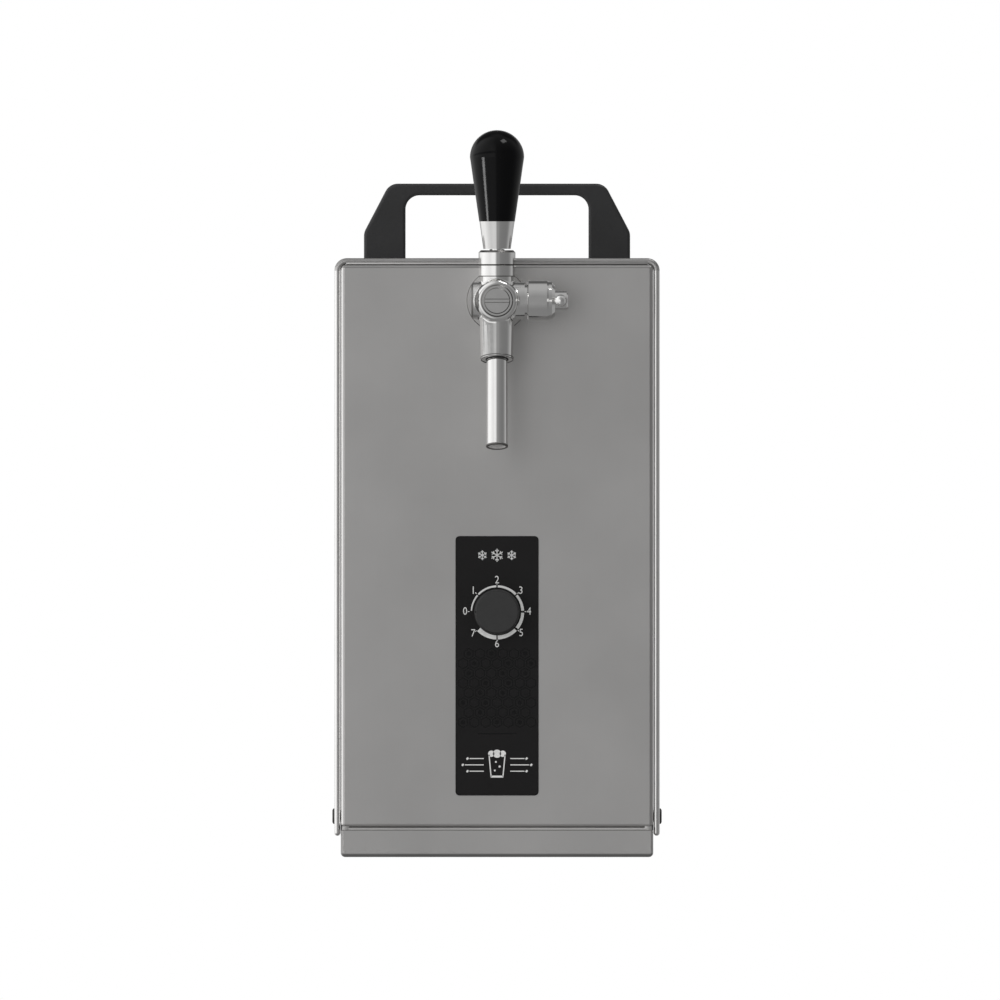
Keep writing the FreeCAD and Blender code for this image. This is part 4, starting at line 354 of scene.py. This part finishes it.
def mixFinish(name, look):
    material = bpy.data.materials.new(name)
    material.use_nodes = True
    tree = material.node_tree
    shader = tree.nodes["Principled BSDF"]
    place = tree.nodes.new("ShaderNodeTexCoord")

    def noise(scale, detail, stretch=None):
        node = tree.nodes.new("ShaderNodeTexNoise")
        node.inputs["Scale"].default_value = scale
        node.inputs["Detail"].default_value = detail
        if stretch:
            turn = tree.nodes.new("ShaderNodeMapping")
            turn.inputs["Scale"].default_value = stretch
            tree.links.new(place.outputs["Object"], turn.inputs["Vector"])
            tree.links.new(turn.outputs["Vector"], node.inputs["Vector"])
        else:
            tree.links.new(place.outputs["Object"], node.inputs["Vector"])
        return node.outputs["Fac"]

    def spread(source, span, low, high):
        node = tree.nodes.new("ShaderNodeMapRange")
        node.inputs["From Min"].default_value, node.inputs["From Max"].default_value = span
        node.inputs["To Min"].default_value = low
        node.inputs["To Max"].default_value = high
        tree.links.new(source, node.inputs["Value"])
        return node.outputs["Result"]

    cloud = noise(look["cloud"], texture["cloudDetail"])
    grain = noise(1.0, texture["grainDetail"], look["grain"])

    tint = tree.nodes.new("ShaderNodeVectorMath")
    tint.operation = "SCALE"
    tint.inputs[0].default_value = look["colour"]
    cloudy = spread(cloud, texture["cloudSpan"], 1 - look["tone"], 1 + look["tone"])
    tree.links.new(cloudy, tint.inputs["Scale"])
    tree.links.new(tint.outputs["Vector"], shader.inputs["Base Color"])

    both = tree.nodes.new("ShaderNodeMath")
    both.operation = "ADD"
    tree.links.new(grain, both.inputs[0])
    tree.links.new(cloud, both.inputs[1])
    rough = spread(both.outputs[0], texture["sumSpan"], *look["rough"])
    tree.links.new(rough, shader.inputs["Roughness"])

    bumps = []
    if "grainBump" in look:
        bumps.append((grain, look["grainBump"], texture["grainReach"]))
    if "peelBump" in look:
        peel = noise(look["peel"], texture["peelDetail"])
        bumps.append((peel, look["peelBump"], texture["peelReach"]))
    under = None
    for source, depth, reach in bumps:
        bump = tree.nodes.new("ShaderNodeBump")
        bump.inputs["Strength"].default_value = depth
        bump.inputs["Distance"].default_value = reach
        tree.links.new(source, bump.inputs["Height"])
        if under:
            tree.links.new(under, bump.inputs["Normal"])
        under = bump.outputs["Normal"]
    tree.links.new(under, shader.inputs["Normal"])
    shader.inputs["Metallic"].default_value = look["metal"]
    shader.inputs["Specular IOR Level"].default_value = look.get("shine", texture["shine"])
    return material


materials = {name: mixFinish(name, look) for name, look in finishes.items()}

wornBy = {
    "satinSteel": ["base_tray", "front_panel", "rear_panel", "cover", "tap_rosette"],
    "chrome": ["tap_shank", "shank_nut", "tap_body", "spout_tube", "front_plug", "lock_collar",
               "collar_nut", "lever_pin", "tap_lever", "handle_ferrule", "compensator_housing",
               "compensator_spindle", "compensator_lever", "flow_cone", "valve_shaft"],
    "darkScrew": ["cover_screws", "panel_screws", "rear_screws", "frame_screws", "handle_bolts"],
    "zincSteel": ["lifting_frame", "thermostat_body", "thermostat_nut", "compressor_bolts", "pump_bracket"],
    "handleBlack": ["carry_handle"],
    "knobBlack": ["tap_knob"],
    "dialGrey": ["thermostat_knob"],
    "labelFilm": ["control_label"],
    "switchBlack": ["main_switch_rocker", "pump_switch_rocker", "switch_bodies", "power_inlet", "fan_frame",
                    "fan_rotor"],
    "copper": ["sensing_tube", "suction_pipe", "discharge_pipe", "capillary_tube", "filter_drier",
               "evaporator_coil", "condenser_coil"],
    "compressorBlack": ["compressor", "air_pump"],
    "rubberBlack": ["compressor_grommets", "valve_seal"],
    "aluminium": ["condenser_fins", "cold_block", "thermostat_spindle"],
    "trimSteel": ["beer_coil"],
    "foamWhite": ["foam_case"],
    "hoseClear": ["air_hose"],
    "fittingGrey": ["port_fittings", "air_outlet_collet"],
    "fittingBlue": ["beer_inlet_collet"],
}


def dress(node, material):
    slots = node.data.materials
    if not slots:
        slots.append(material)
    for i in range(len(slots)):
        slots[i] = material


for finish, names in wornBy.items():
    for name in names:
        dress(nodes[name], materials[finish])
plain = sorted(set(nodes) - {n for names in wornBy.values() for n in names})
print("finishes ready; pieces without one:", plain)

labelPrint = {
    "ink": 0.00006,
    "dialHeight": 0.1318,
    "numberRound": 0.0172,
    "numberRise": 0.0003,
    "numberHeight": 0.004,
    "numberShare": 0.73,  # how much of the lettering's size a number's height takes
    "numberSteps": 6,
    "numberSlim": 0.86,
    "numberTurns": [179, 138, 90, 42, 1, -41, -90, -138],
    "ringCorners": 240,
    "ringThin": (0.0134, 0.0141),  # the ring's two radii where it starts, by the 0
    "ringThick": (0.0122, 0.0148),  # and where it ends, by the 7
    "ringGrowth": (2.0, 0.7),
    "ringGap": 2.2,  # half the gap at each number, degrees
    "tick": (0.0149, 0.0157, 0.0004),
    "flakes": [(0.0, 0.1624, 0.0034), (-0.0079, 0.1624, 0.0025), (0.0079, 0.1624, 0.0025)],
    "flakeStroke": 0.00044,
    "flakeBranch": {"turn": 50, "start": 0.55, "length": 0.36, "width": 0.9},  # shares of arm and stroke
    "comb": {
        "low": 0.0694, "high": 0.1124, "side": 0.0215, "pitch": 0.0061, "rowShare": 0.866,
        "columns": 3, "radius": 0.0031, "wall": 0.8, "seed": 0.42,
    },
    "rule": (-0.0102, 0.0102, 0.0664, 0.0007),
    "glass": {
        "middle": 0.0508, "foot": 0.0032, "rim": 0.0043, "low": -0.0075, "high": 0.0042,
        "stroke": 0.0006, "footStroke": 0.00108,
        "foamRise": 0.0006,
        "foamCorners": 32,
        "foam": [(-0.0031, 0.0017), (0.0, 0.0022), (0.0031, 0.0017)],  # place across, radius
        "bubbleCorners": 20,
        "bubbles": [(-0.0012, -0.0042, 0.0005), (0.0014, -0.0021, 0.0006), (-0.0006, 0.0004, 0.0005)],
    },
    "wings": [(0.0072, 0.0172, 0.0), (0.0072, 0.0147, 0.0034), (0.0072, 0.0147, -0.0034)],
    "wingDrop": 0.0012,  # how far the lines beside the glass lie under its middle
    "wingStroke": 0.0005,
    "wingTip": 0.001,
    "wingTipOut": 0.0012,
}

strokeOverlap = 0.3  # how much longer a stroke is than its way, in widths
inkOffset = -0.2  # the ink's middle lies a little inside its face


def wayAt(degrees):
    return Vector((math.cos(math.radians(degrees)), math.sin(math.radians(degrees))))


def uprightAt(front):  # turns a flat drawing up, on a face that looks to the front
    return Matrix.Translation((0, front, 0)) @ Matrix.Rotation(math.radians(90), 4, "X")


def joinPieces(pieces, name):
    clearSelection()
    for piece in pieces:
        piece.select_set(True)
    bpy.context.view_layer.objects.active = pieces[0]
    if len(pieces) > 1:
        bpy.ops.object.join()
    whole = bpy.context.object
    whole.name = name
    return whole


def pickFaces(piece, wanted):  # selects faces by a test on their middle, and leaves the piece in edit mode
    bpy.ops.object.mode_set(mode="OBJECT")
    for face in piece.data.polygons:
        face.select = bool(wanted(face.center))
    for edge in piece.data.edges:
        edge.select = False
    for corner in piece.data.vertices:
        corner.select = False
    for face in piece.data.polygons:
        if face.select:
            for corner in face.vertices:
                piece.data.vertices[corner].select = True
    bpy.ops.object.mode_set(mode="EDIT")
    bpy.ops.mesh.select_mode(type="FACE")


def flatShape():  # the shape just drawn, with its place in its mesh
    bpy.ops.object.mode_set(mode="OBJECT")
    bpy.ops.object.transform_apply(location=True, rotation=True, scale=True)
    return bpy.context.object


def drawStroke(start, end, width):
    clearSelection()
    way = Vector(end) - Vector(start)
    middle = (Vector(start) + Vector(end)) / 2
    turn = math.atan2(way.y, way.x)
    bpy.ops.mesh.primitive_plane_add(size=1, location=(middle.x, middle.y, 0), rotation=(0, 0, turn))
    bpy.context.object.scale = (way.length + width * strokeOverlap, width, 1)
    return flatShape()


def drawDot(corners, radius, x=0.0, y=0.0):
    clearSelection()
    bpy.ops.mesh.primitive_circle_add(
        vertices=corners, radius=radius, fill_type="NGON", location=(x, y, 0))
    return flatShape()


def drawHoop(corners, radius, share):  # share is its other radius over this one
    clearSelection()
    bpy.ops.mesh.primitive_circle_add(
        vertices=corners, radius=radius, fill_type="NOTHING", location=(0, 0, 0))
    bpy.ops.object.mode_set(mode="EDIT")
    bpy.ops.mesh.extrude_edges_move()
    bpy.ops.transform.resize(value=(share, share, 1))
    return flatShape()


def drawNumber(digit, middle, look):
    clearSelection()
    bpy.ops.object.text_add(location=(0, 0, 0))
    number = bpy.context.object
    number.data.body = str(digit)
    number.data.size = look["numberHeight"] / look["numberShare"]
    number.data.resolution_u = look["numberSteps"]
    bpy.ops.object.convert(target="MESH")
    number = bpy.context.object
    left, right = [pick(c.co.x for c in number.data.vertices) for pick in (min, max)]
    low, high = [pick(c.co.y for c in number.data.vertices) for pick in (min, max)]
    tall = look["numberHeight"] / (high - low)
    slim = tall * look["numberSlim"]
    number.scale = (slim, tall, 1)
    number.location = (middle[0] - slim * (right + left) / 2, middle[1] - tall * (high + low) / 2, 0)
    return flatShape()


def drawRing(look):
    ring = drawHoop(look["ringCorners"], 1, 2)
    last = look["numberTurns"][-1]
    for corner in ring.data.vertices:  # thicker clockwise, from the 0 round to the 7
        turn = math.atan2(corner.co.y, corner.co.x)
        share = (180 - math.degrees(turn)) % 360 / (180 - last)
        outside = corner.co.length > 1.5  # the hoop's two radii are 1 and 2 before this
        thin, thick = look["ringThin"][outside], look["ringThick"][outside]
        radius = thin + (thick - thin) * min(share, 1) ** look["ringGrowth"][outside]
        corner.co = (radius * math.cos(turn), radius * math.sin(turn), 0)

    def inGap(middle):
        turn = math.degrees(math.atan2(middle.y, middle.x))
        near = min(abs((turn - place + 180) % 360 - 180) for place in look["numberTurns"])
        return near < look["ringGap"] or turn < last

    pickFaces(ring, inGap)
    bpy.ops.mesh.delete(type="FACE")
    bpy.ops.object.mode_set(mode="OBJECT")
    ring.location.y = look["dialHeight"]
    return flatShape()


def drawFlake(place, look):
    x, y, radius = place
    middle = Vector((x, y))
    stroke, branch = look["flakeStroke"], look["flakeBranch"]
    strokes = []
    for turn in range(90, 450, 60):
        arm = wayAt(turn) * radius
        strokes.append(drawStroke(middle, middle + arm, stroke))
        knot = middle + arm * branch["start"]
        for side in (-branch["turn"], branch["turn"]):
            tip = knot + wayAt(turn + side) * radius * branch["length"]
            strokes.append(drawStroke(knot, tip, stroke * branch["width"]))
    return strokes


def drawComb(look):
    cell = drawHoop(6, look["radius"], look["wall"])
    seed = drawDot(6, look["radius"] * look["seed"])
    step = look["pitch"] * look["rowShare"]
    cells = []
    for row in range(int((look["high"] - look["low"]) / step)):
        shift = look["pitch"] / 2 * (row % 2)
        for column in range(-look["columns"], look["columns"] + 1):
            x = column * look["pitch"] + shift
            if abs(x) > look["side"] - look["radius"]:
                continue
            seeded = (row * 2 + column * 3) % 5 < 2  # two cells in five
            for shape in (cell, seed) if seeded else (cell,):
                copy = shape.copy()
                copy.data = shape.data.copy()
                copy.location = (x, look["low"] + look["radius"] + row * step, 0)
                bpy.context.collection.objects.link(copy)
                cells.append(copy)
    for shape in (cell, seed):
        bpy.data.objects.remove(shape)
    return cells


def drawGlass(look):
    low, high = look["middle"] + look["low"], look["middle"] + look["high"]
    shapes = [
        drawStroke((-look["foot"], low), (-look["rim"], high), look["stroke"]),
        drawStroke((look["foot"], low), (look["rim"], high), look["stroke"]),
        drawStroke((-look["foot"], low), (look["foot"], low), look["footStroke"]),
    ]
    for x, radius in look["foam"]:
        shapes.append(drawDot(look["foamCorners"], radius, x, high + look["foamRise"]))
    for x, y, radius in look["bubbles"]:
        shapes.append(drawDot(look["bubbleCorners"], radius, x, look["middle"] + y))
    return shapes


def drawWings(look):
    shapes = []
    for start, end, rise in look["wings"]:
        y = look["glass"]["middle"] - look["wingDrop"] + rise
        for side in (-1, 1):
            shapes.append(drawStroke((side * start, y), (side * end, y), look["wingStroke"]))
            tip = drawStroke((-look["wingTip"] / 2, 0), (look["wingTip"] / 2, 0), look["wingTip"])
            tip.rotation_euler.z = math.radians(45)
            tip.location = (side * (end + look["wingTipOut"]), y, 0)
            shapes.append(tip)
    return shapes


def setInk(name, shapes, finish, place, thickness, body):  # flat shapes as one layer of ink on a face
    ink = joinPieces(shapes, name)
    bpy.ops.object.transform_apply(location=True, rotation=True, scale=True)
    for face in ink.data.polygons:
        if face.normal.z < 0:
            face.flip()
    ink.matrix_world = place
    bpy.ops.object.transform_apply(location=True, rotation=True, scale=True)
    layer = ink.modifiers.new("ink", "SOLIDIFY")
    layer.thickness = thickness
    layer.offset = inkOffset
    bpy.ops.object.modifier_apply(modifier="ink")
    dress(ink, materials[finish])
    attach(ink, body)
    return ink


def printLabel(look):
    silver = [drawRing(look)]
    middle = Vector((0, look["dialHeight"]))
    inner, outer, width = look["tick"]
    for digit, turn in enumerate(look["numberTurns"]):
        way = wayAt(turn)
        place = middle + way * look["numberRound"] + Vector((0, look["numberRise"]))
        silver.append(drawNumber(digit, place, look))
        silver.append(drawStroke(middle + way * inner, middle + way * outer, width))
    for place in look["flakes"]:
        silver += drawFlake(place, look)
    silver += drawGlass(look["glass"])
    silver += drawWings(look)
    film = uprightAt(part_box("control_label")[0][1])
    setInk("label_print_silver", silver, "printSilver", film, look["ink"], "casing")
    left, right, height, width = look["rule"]
    gloss = drawComb(look["comb"])
    gloss.append(drawStroke((left, height), (right, height), width))
    setInk("label_print_gloss", gloss, "printGloss", film, look["ink"], "casing")


printLabel(labelPrint)
print("label printed")

bodies = frame["record"]["behaviour"]["bodies"]
bodyOf = {name: body for body, members in bodies.items() for name in members}

shaping = {  # metres and degrees
    "mergeWithin": 0.000002,
    "flatWithin": 0.5,
    "smoothTo": 30,  # turned and bent pieces are smooth where faces meet at less
    "edgeFrom": 35,  # moulded and cut pieces have edges broken where faces meet at more
    "edgeSmoothTo": 40,
}


def mergedCopy(name, newName):  # a model piece again as one clean mesh, free to shape
    clearSelection()
    piece = nodes[name].copy()
    piece.data = nodes[name].data.copy()
    piece.name = newName
    bpy.context.collection.objects.link(piece)
    piece.parent = None
    piece.matrix_world = Matrix.Identity(4)
    piece.select_set(True)
    bpy.context.view_layer.objects.active = piece
    bpy.ops.mesh.customdata_custom_splitnormals_clear()
    bpy.ops.object.mode_set(mode="EDIT")
    bpy.ops.mesh.select_all(action="SELECT")
    bpy.ops.mesh.remove_doubles(threshold=shaping["mergeWithin"])
    bpy.ops.mesh.dissolve_limited(angle_limit=math.radians(shaping["flatWithin"]))
    bpy.ops.object.mode_set(mode="OBJECT")
    return piece


def smoothCopy(name, newName):
    piece = mergedCopy(name, newName)
    bpy.ops.object.shade_smooth_by_angle(angle=math.radians(shaping["smoothTo"]))
    return piece


def breakEdges(piece, width, rounds=2):
    edges = piece.modifiers.new("edges", "BEVEL")
    edges.width = width
    edges.segments = rounds
    edges.limit_method = "ANGLE"
    edges.angle_limit = math.radians(shaping["edgeFrom"])
    bpy.ops.object.modifier_apply(modifier="edges")
    bpy.ops.object.shade_smooth_by_angle(angle=math.radians(shaping["edgeSmoothTo"]))


def standFor(piece, name, finish):
    dress(piece, materials[finish])
    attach(piece, bodyOf[name])
    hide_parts(name)


softEdges = {  # moulded pieces: how wide their broken edges are
    "power_inlet": 0.0005,
    "switch_bodies": 0.0004,
    "main_switch_rocker": 0.0003,
    "pump_switch_rocker": 0.0003,
}

for name, width in softEdges.items():
    piece = mergedCopy(name, name + "_moulding")
    breakEdges(piece, width)
    standFor(piece, name, "switchBlack")
print("mouldings ready")

screwHeads = {  # the axis each row of screws lies on, and the hexagon sockets in their heads
    "cover_screws": {"axis": 0, "turn": (0, 90, 0), "corner": 0.0016, "depth": 0.0007, "edge": 0.00012},
    "rear_screws": {"axis": 1, "turn": (90, 0, 0), "corner": 0.0016, "depth": 0.001, "edge": 0.00012},
}


def cutSockets(name, look):
    mergedCopy(name, name + "_socket")
    bpy.ops.object.mode_set(mode="EDIT")
    bpy.ops.mesh.select_all(action="SELECT")
    bpy.ops.mesh.separate(type="LOOSE")
    bpy.ops.object.mode_set(mode="OBJECT")
    screws = list(bpy.context.selected_objects)
    axis = look["axis"]
    turn = [math.radians(part) for part in look["turn"]]
    for screw in screws:
        low = [min(c.co[i] for c in screw.data.vertices) for i in range(3)]
        high = [max(c.co[i] for c in screw.data.vertices) for i in range(3)]
        place = [(a + b) / 2 for a, b in zip(low, high)]
        place[axis] = high[axis] if place[axis] > 0 else low[axis]
        clearSelection()
        bpy.ops.mesh.primitive_cylinder_add(
            vertices=6, radius=look["corner"], depth=look["depth"] * 2, location=place, rotation=turn)
        tool = bpy.context.object
        clearSelection()
        bpy.context.view_layer.objects.active = screw
        socket = screw.modifiers.new("socket", "BOOLEAN")
        socket.operation = "DIFFERENCE"
        socket.object = tool
        bpy.ops.object.modifier_apply(modifier="socket")
        bpy.data.objects.remove(tool)
    piece = joinPieces(screws, name + "_socket")
    breakEdges(piece, look["edge"], 1)
    standFor(piece, name, "darkScrew")


for name, look in screwHeads.items():
    cutSockets(name, look)
print("screw heads ready")

creaseShades = {  # turned pieces with painted shade on their chamfers: axis, least and most share of it in a shaded face's normal, finish, slot
    "front_plug": (1, 0.0, 0.95, "chrome", "chrome"),
    "lock_collar": (2, 0.3, 0.95, "chrome", "chrome"),
    "collar_nut": (2, 0.3, 0.95, "chrome", "chrome"),
    "tap_rosette": (1, 0.3, 0.95, "satinSteel", "satin_steel"),
}
crossStub = {
    "before": -0.0097,  # where the left stub ends, metres along x
    "shoulder": (0.3, 0.95),  # least and most share of x in its shoulder's normals
}


def shadeFaces(piece, finish, wanted):  # gives some faces of a piece a second finish
    piece.data.materials.append(materials[finish])
    second = len(piece.data.materials) - 1
    for face in piece.data.polygons:
        if wanted(face):
            face.material_index = second


# darker steel on a turned piece's chamfers and grooves: painted shade
def lineJoints(name, axis, low, high, finish, slot):
    piece = smoothCopy(name, name + "_crease_shaded")
    standFor(piece, name, finish)
    shadeFaces(piece, "creaseShadeSteel", lambda face: low <= abs(face.normal[axis]) <= high)


# the tap cross's left stub: a rougher steel painted lighter than chrome, a painted highlight, with painted
# shade on its shoulder
def brushStub(look):
    low, high = look["shoulder"]

    def onStub(face):
        return face.center.x < look["before"]

    cross = smoothCopy("tap_body", "tap_body_brushed_lightened")
    standFor(cross, "tap_body", "chrome")
    shadeFaces(cross, "highlightSteel", onStub)
    shadeFaces(cross, "creaseShadeSteel", lambda face: onStub(face) and low < -face.normal.x < high)


for name, line in creaseShades.items():
    lineJoints(name, *line)
brushStub(crossStub)
print("joint lines ready")

spoutEnd = {
    "cross": (0.0, -0.177, 0.2993),
    "tilt": 15.5,
    "boreLean": 0.5,  # the bore's faces point along the spout less than this
    "ringGrid": (96, 20),
    "rings": [  # name, distance down the spout, radius, thickness, finish, slot
        # the dark steel rings are painted shade lines at the outlet and the spout's end; the seal is rubber
        ("outlet_groove", 0.03195, 0.00868, 0.00025, "creaseShadeSteel", "chrome"),
        ("outlet_lip", 0.0329, 0.00855, 0.0002, "creaseShadeSteel", "chrome"),
        ("spout_seal", 0.0329, 0.0059, 0.0003, "rubberBlack", "rubber_black"),
        ("spout_lip", 0.0811, 0.00535, 0.00065, "creaseShadeSteel", "chrome"),
    ],
}


def finishSpout(look):
    lean = math.radians(look["tilt"])
    cross = Vector(look["cross"])
    way = Vector((0, -math.sin(lean), -math.cos(lean)))

    def inBore(face):
        out = face.center - cross
        out -= way * out.dot(way)
        return abs(face.normal.dot(way)) < look["boreLean"] and face.normal.dot(out) < 0

    tube = smoothCopy("spout_tube", "spout_tube_bored")
    standFor(tube, "spout_tube", "chrome")
    shadeFaces(tube, "boreSteel", inBore)
    around, across = look["ringGrid"]
    for name, along, radius, thick, finish, slot in look["rings"]:
        clearSelection()
        bpy.ops.mesh.primitive_torus_add(
            major_segments=around, minor_segments=across, major_radius=radius, minor_radius=thick,
            location=cross + way * along, rotation=(-lean, 0, 0))
        ring = bpy.context.object
        ring.name = name
        bpy.ops.object.transform_apply(location=True, rotation=True, scale=True)
        bpy.ops.object.shade_smooth()
        dress(ring, materials[finish])
        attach(ring, "casing")


finishSpout(spoutEnd)
print("spout ready")

foldAt = {  # where the front folds lie: metres, and shares of a face's normal
    "before": -0.1425,
    "trayLean": 0.25,
    "panelLean": 0.55,
    "lean": 0.2,
    "sideTop": 0.31,
    "topFoot": 0.317,
    "flatWeight": 100,
}

foldedSheets = {  # folds at the front by finish: side folds of panel and cover lighter, a painted highlight, the others darker, painted shade
    "base_tray": {
        "foldShadeSteel": lambda middle, normal: min(normal.x, normal.z) < -foldAt["trayLean"],
    },
    "front_panel": {
        "highlightSteel": lambda middle, normal: normal.x < -foldAt["panelLean"],
        "foldShadeSteel": lambda middle, normal: normal.z > foldAt["lean"],
    },
    "cover": {
        "highlightSteel": lambda middle, normal: middle.z < foldAt["sideTop"] and abs(normal.x) > foldAt["lean"],
        "foldShadeSteel": lambda middle, normal: middle.z > foldAt["topFoot"] and normal.z > foldAt["lean"],
    },
}


def finishFolds(name, folds):
    sheet = smoothCopy(name, name + "_folds")
    flat = sheet.modifiers.new("flat", "WEIGHTED_NORMAL")
    flat.weight = foldAt["flatWeight"]
    flat.keep_sharp = True
    bpy.ops.object.modifier_apply(modifier="flat")
    standFor(sheet, name, "satinSteel")
    for finish, onFold in folds.items():
        shadeFaces(sheet, finish, lambda face: (
            face.center.y < foldAt["before"] and onFold(face.center, face.normal)))


for name, folds in foldedSheets.items():
    finishFolds(name, folds)
print("sheet folds ready")

seams = {
    "fillEdge": 0.00012,
    "sizes": {
        "block": (0.0039, 0.0005, 0.0031),
        "strip": (0.1624, 0.0007, 0.00096),
        "shadeStrip": (0.162, 0.002, 0.0014),
    },
    "fills": [  # what closes the joints: name, size, middle, finish, slot
        ("tray_fill_left", "block", (-0.0814, -0.14445, 0.01505), "satinSteel", "satin_steel"),
        ("tray_fill_right", "block", (0.0814, -0.14445, 0.01505), "satinSteel", "satin_steel"),
        ("tray_fill_rear_left", "block", (-0.0814, 0.14445, 0.01505), "satinSteel", "satin_steel"),
        ("tray_fill_rear_right", "block", (0.0814, 0.14445, 0.01505), "satinSteel", "satin_steel"),
        ("rim_fill_front", "strip", (0.0, -0.1433, 0.31938), "satinSteel", "satin_steel"),
        ("rim_fill_rear", "strip", (0.0, 0.1433, 0.31938), "satinSteel", "satin_steel"),
        # dark rubber strips behind the cover's rims fill the gap there with darkness: painted shade
        ("cover_shade_strip_front", "shadeStrip", (0.0, -0.139, 0.3193), "rubberBlack", "rubber_black"),
        ("cover_shade_strip_rear", "shadeStrip", (0.0, 0.139, 0.3193), "rubberBlack", "rubber_black"),
    ],
    "lines": [  # name, half length, height, width, thickness, the face it lies on
        # dark strokes of painted shade along the tray's top bend and along the cover's front rim
        ("tray_seam_shade_line", 0.0838, 0.0144, 0.0003, 0.00005, -0.145),
        ("rim_seam_shade_line", 0.081, 0.3204, 0.00018, 0.00006, -0.1438),
    ],
}


def closeSeams(look):
    for name, size, middle, finish, slot in look["fills"]:
        clearSelection()
        bpy.ops.mesh.primitive_cube_add(size=1, location=middle)
        piece = bpy.context.object
        piece.name = name
        piece.scale = look["sizes"][size]
        bpy.ops.object.transform_apply(location=True, rotation=True, scale=True)
        breakEdges(piece, look["fillEdge"])
        dress(piece, materials[finish])
        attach(piece, "casing")
    for name, half, height, width, thickness, front in look["lines"]:
        stroke = drawStroke((-half, height), (half, height), width)
        ink = setInk(name, [stroke], "creaseShadeSteel", uprightAt(front), thickness, "casing")


closeSeams(seams)
print("seams closed")

inletPins = {
    "middle": (0.04, 0.232),
    "places": [(-0.007, -0.002), (0.0, 0.002), (0.007, -0.002)],
    "size": (0.0021, 0.0125, 0.0041),
    "tip": 0.14515,
    "tipWithin": 0.0001,
    "tipInset": 0.00035,
    "tipRise": 0.0004,
    "edge": 0.0001,
}


def fitInletPins(look):
    pins = []
    wide, long, tall = look["size"]
    for across, up in look["places"]:
        clearSelection()
        x, z = look["middle"][0] + across, look["middle"][1] + up
        bpy.ops.mesh.primitive_cube_add(size=1, location=(x, look["tip"] - long / 2, z))
        pin = bpy.context.object
        pin.scale = (wide, long, tall)
        bpy.ops.object.transform_apply(location=True, rotation=True, scale=True)
        pickFaces(pin, lambda middle: middle.y > look["tip"] - look["tipWithin"])
        bpy.ops.mesh.inset(thickness=look["tipInset"], depth=look["tipRise"])
        bpy.ops.object.mode_set(mode="OBJECT")
        pins.append(pin)
    piece = joinPieces(pins, "inlet_pins")
    breakEdges(piece, look["edge"], 1)
    dress(piece, materials["zincSteel"])
    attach(piece, "casing")


fitInletPins(inletPins)

rockerMarks = {
    "pivot": (0.1444, 0.288),
    "spread": 0.012,
    "tilt": 7.0,
    "face": (0.00312, 0.0042),  # the middle of a half of the face, out from the pivot and up
    "slope": 12.0,
    "ring": 0.0013,
    "ringCorners": 40,
    "bar": 0.0028,
    "stroke": 0.0004,
    "ink": 0.00006,
}


def rockerPlace(look, x, half):  # half is 1 for the upper half of the face and -1 for the lower
    out, up = look["face"]
    tilt = Matrix.Rotation(-math.radians(look["tilt"]), 4, "X")
    slope = Matrix.Rotation(-math.radians(look["slope"]) * half, 4, "X")
    normal = tilt @ slope @ Vector((0, 1, 0))
    right = Vector((-1, 0, 0))
    place = Matrix((right, normal.cross(right), normal)).transposed().to_4x4()
    place.translation = Vector((x, *look["pivot"])) + tilt @ Vector((0, out, up * half))
    return place


def markRockers(look):
    for name, side in (("main_switch", -1), ("pump_switch", 1)):
        x = side * look["spread"]
        bar = drawStroke((0, -look["bar"] / 2), (0, look["bar"] / 2), look["stroke"])
        ring = drawHoop(look["ringCorners"], look["ring"], 1 - look["stroke"] / look["ring"])
        for half, mark, title in ((1, bar, "_bar_mark"), (-1, ring, "_ring_mark")):
            ink = setInk(name + title, [mark], "printSilver", rockerPlace(look, x, half), look["ink"], name)


markRockers(rockerMarks)
print("inlet pins and switch marks ready")
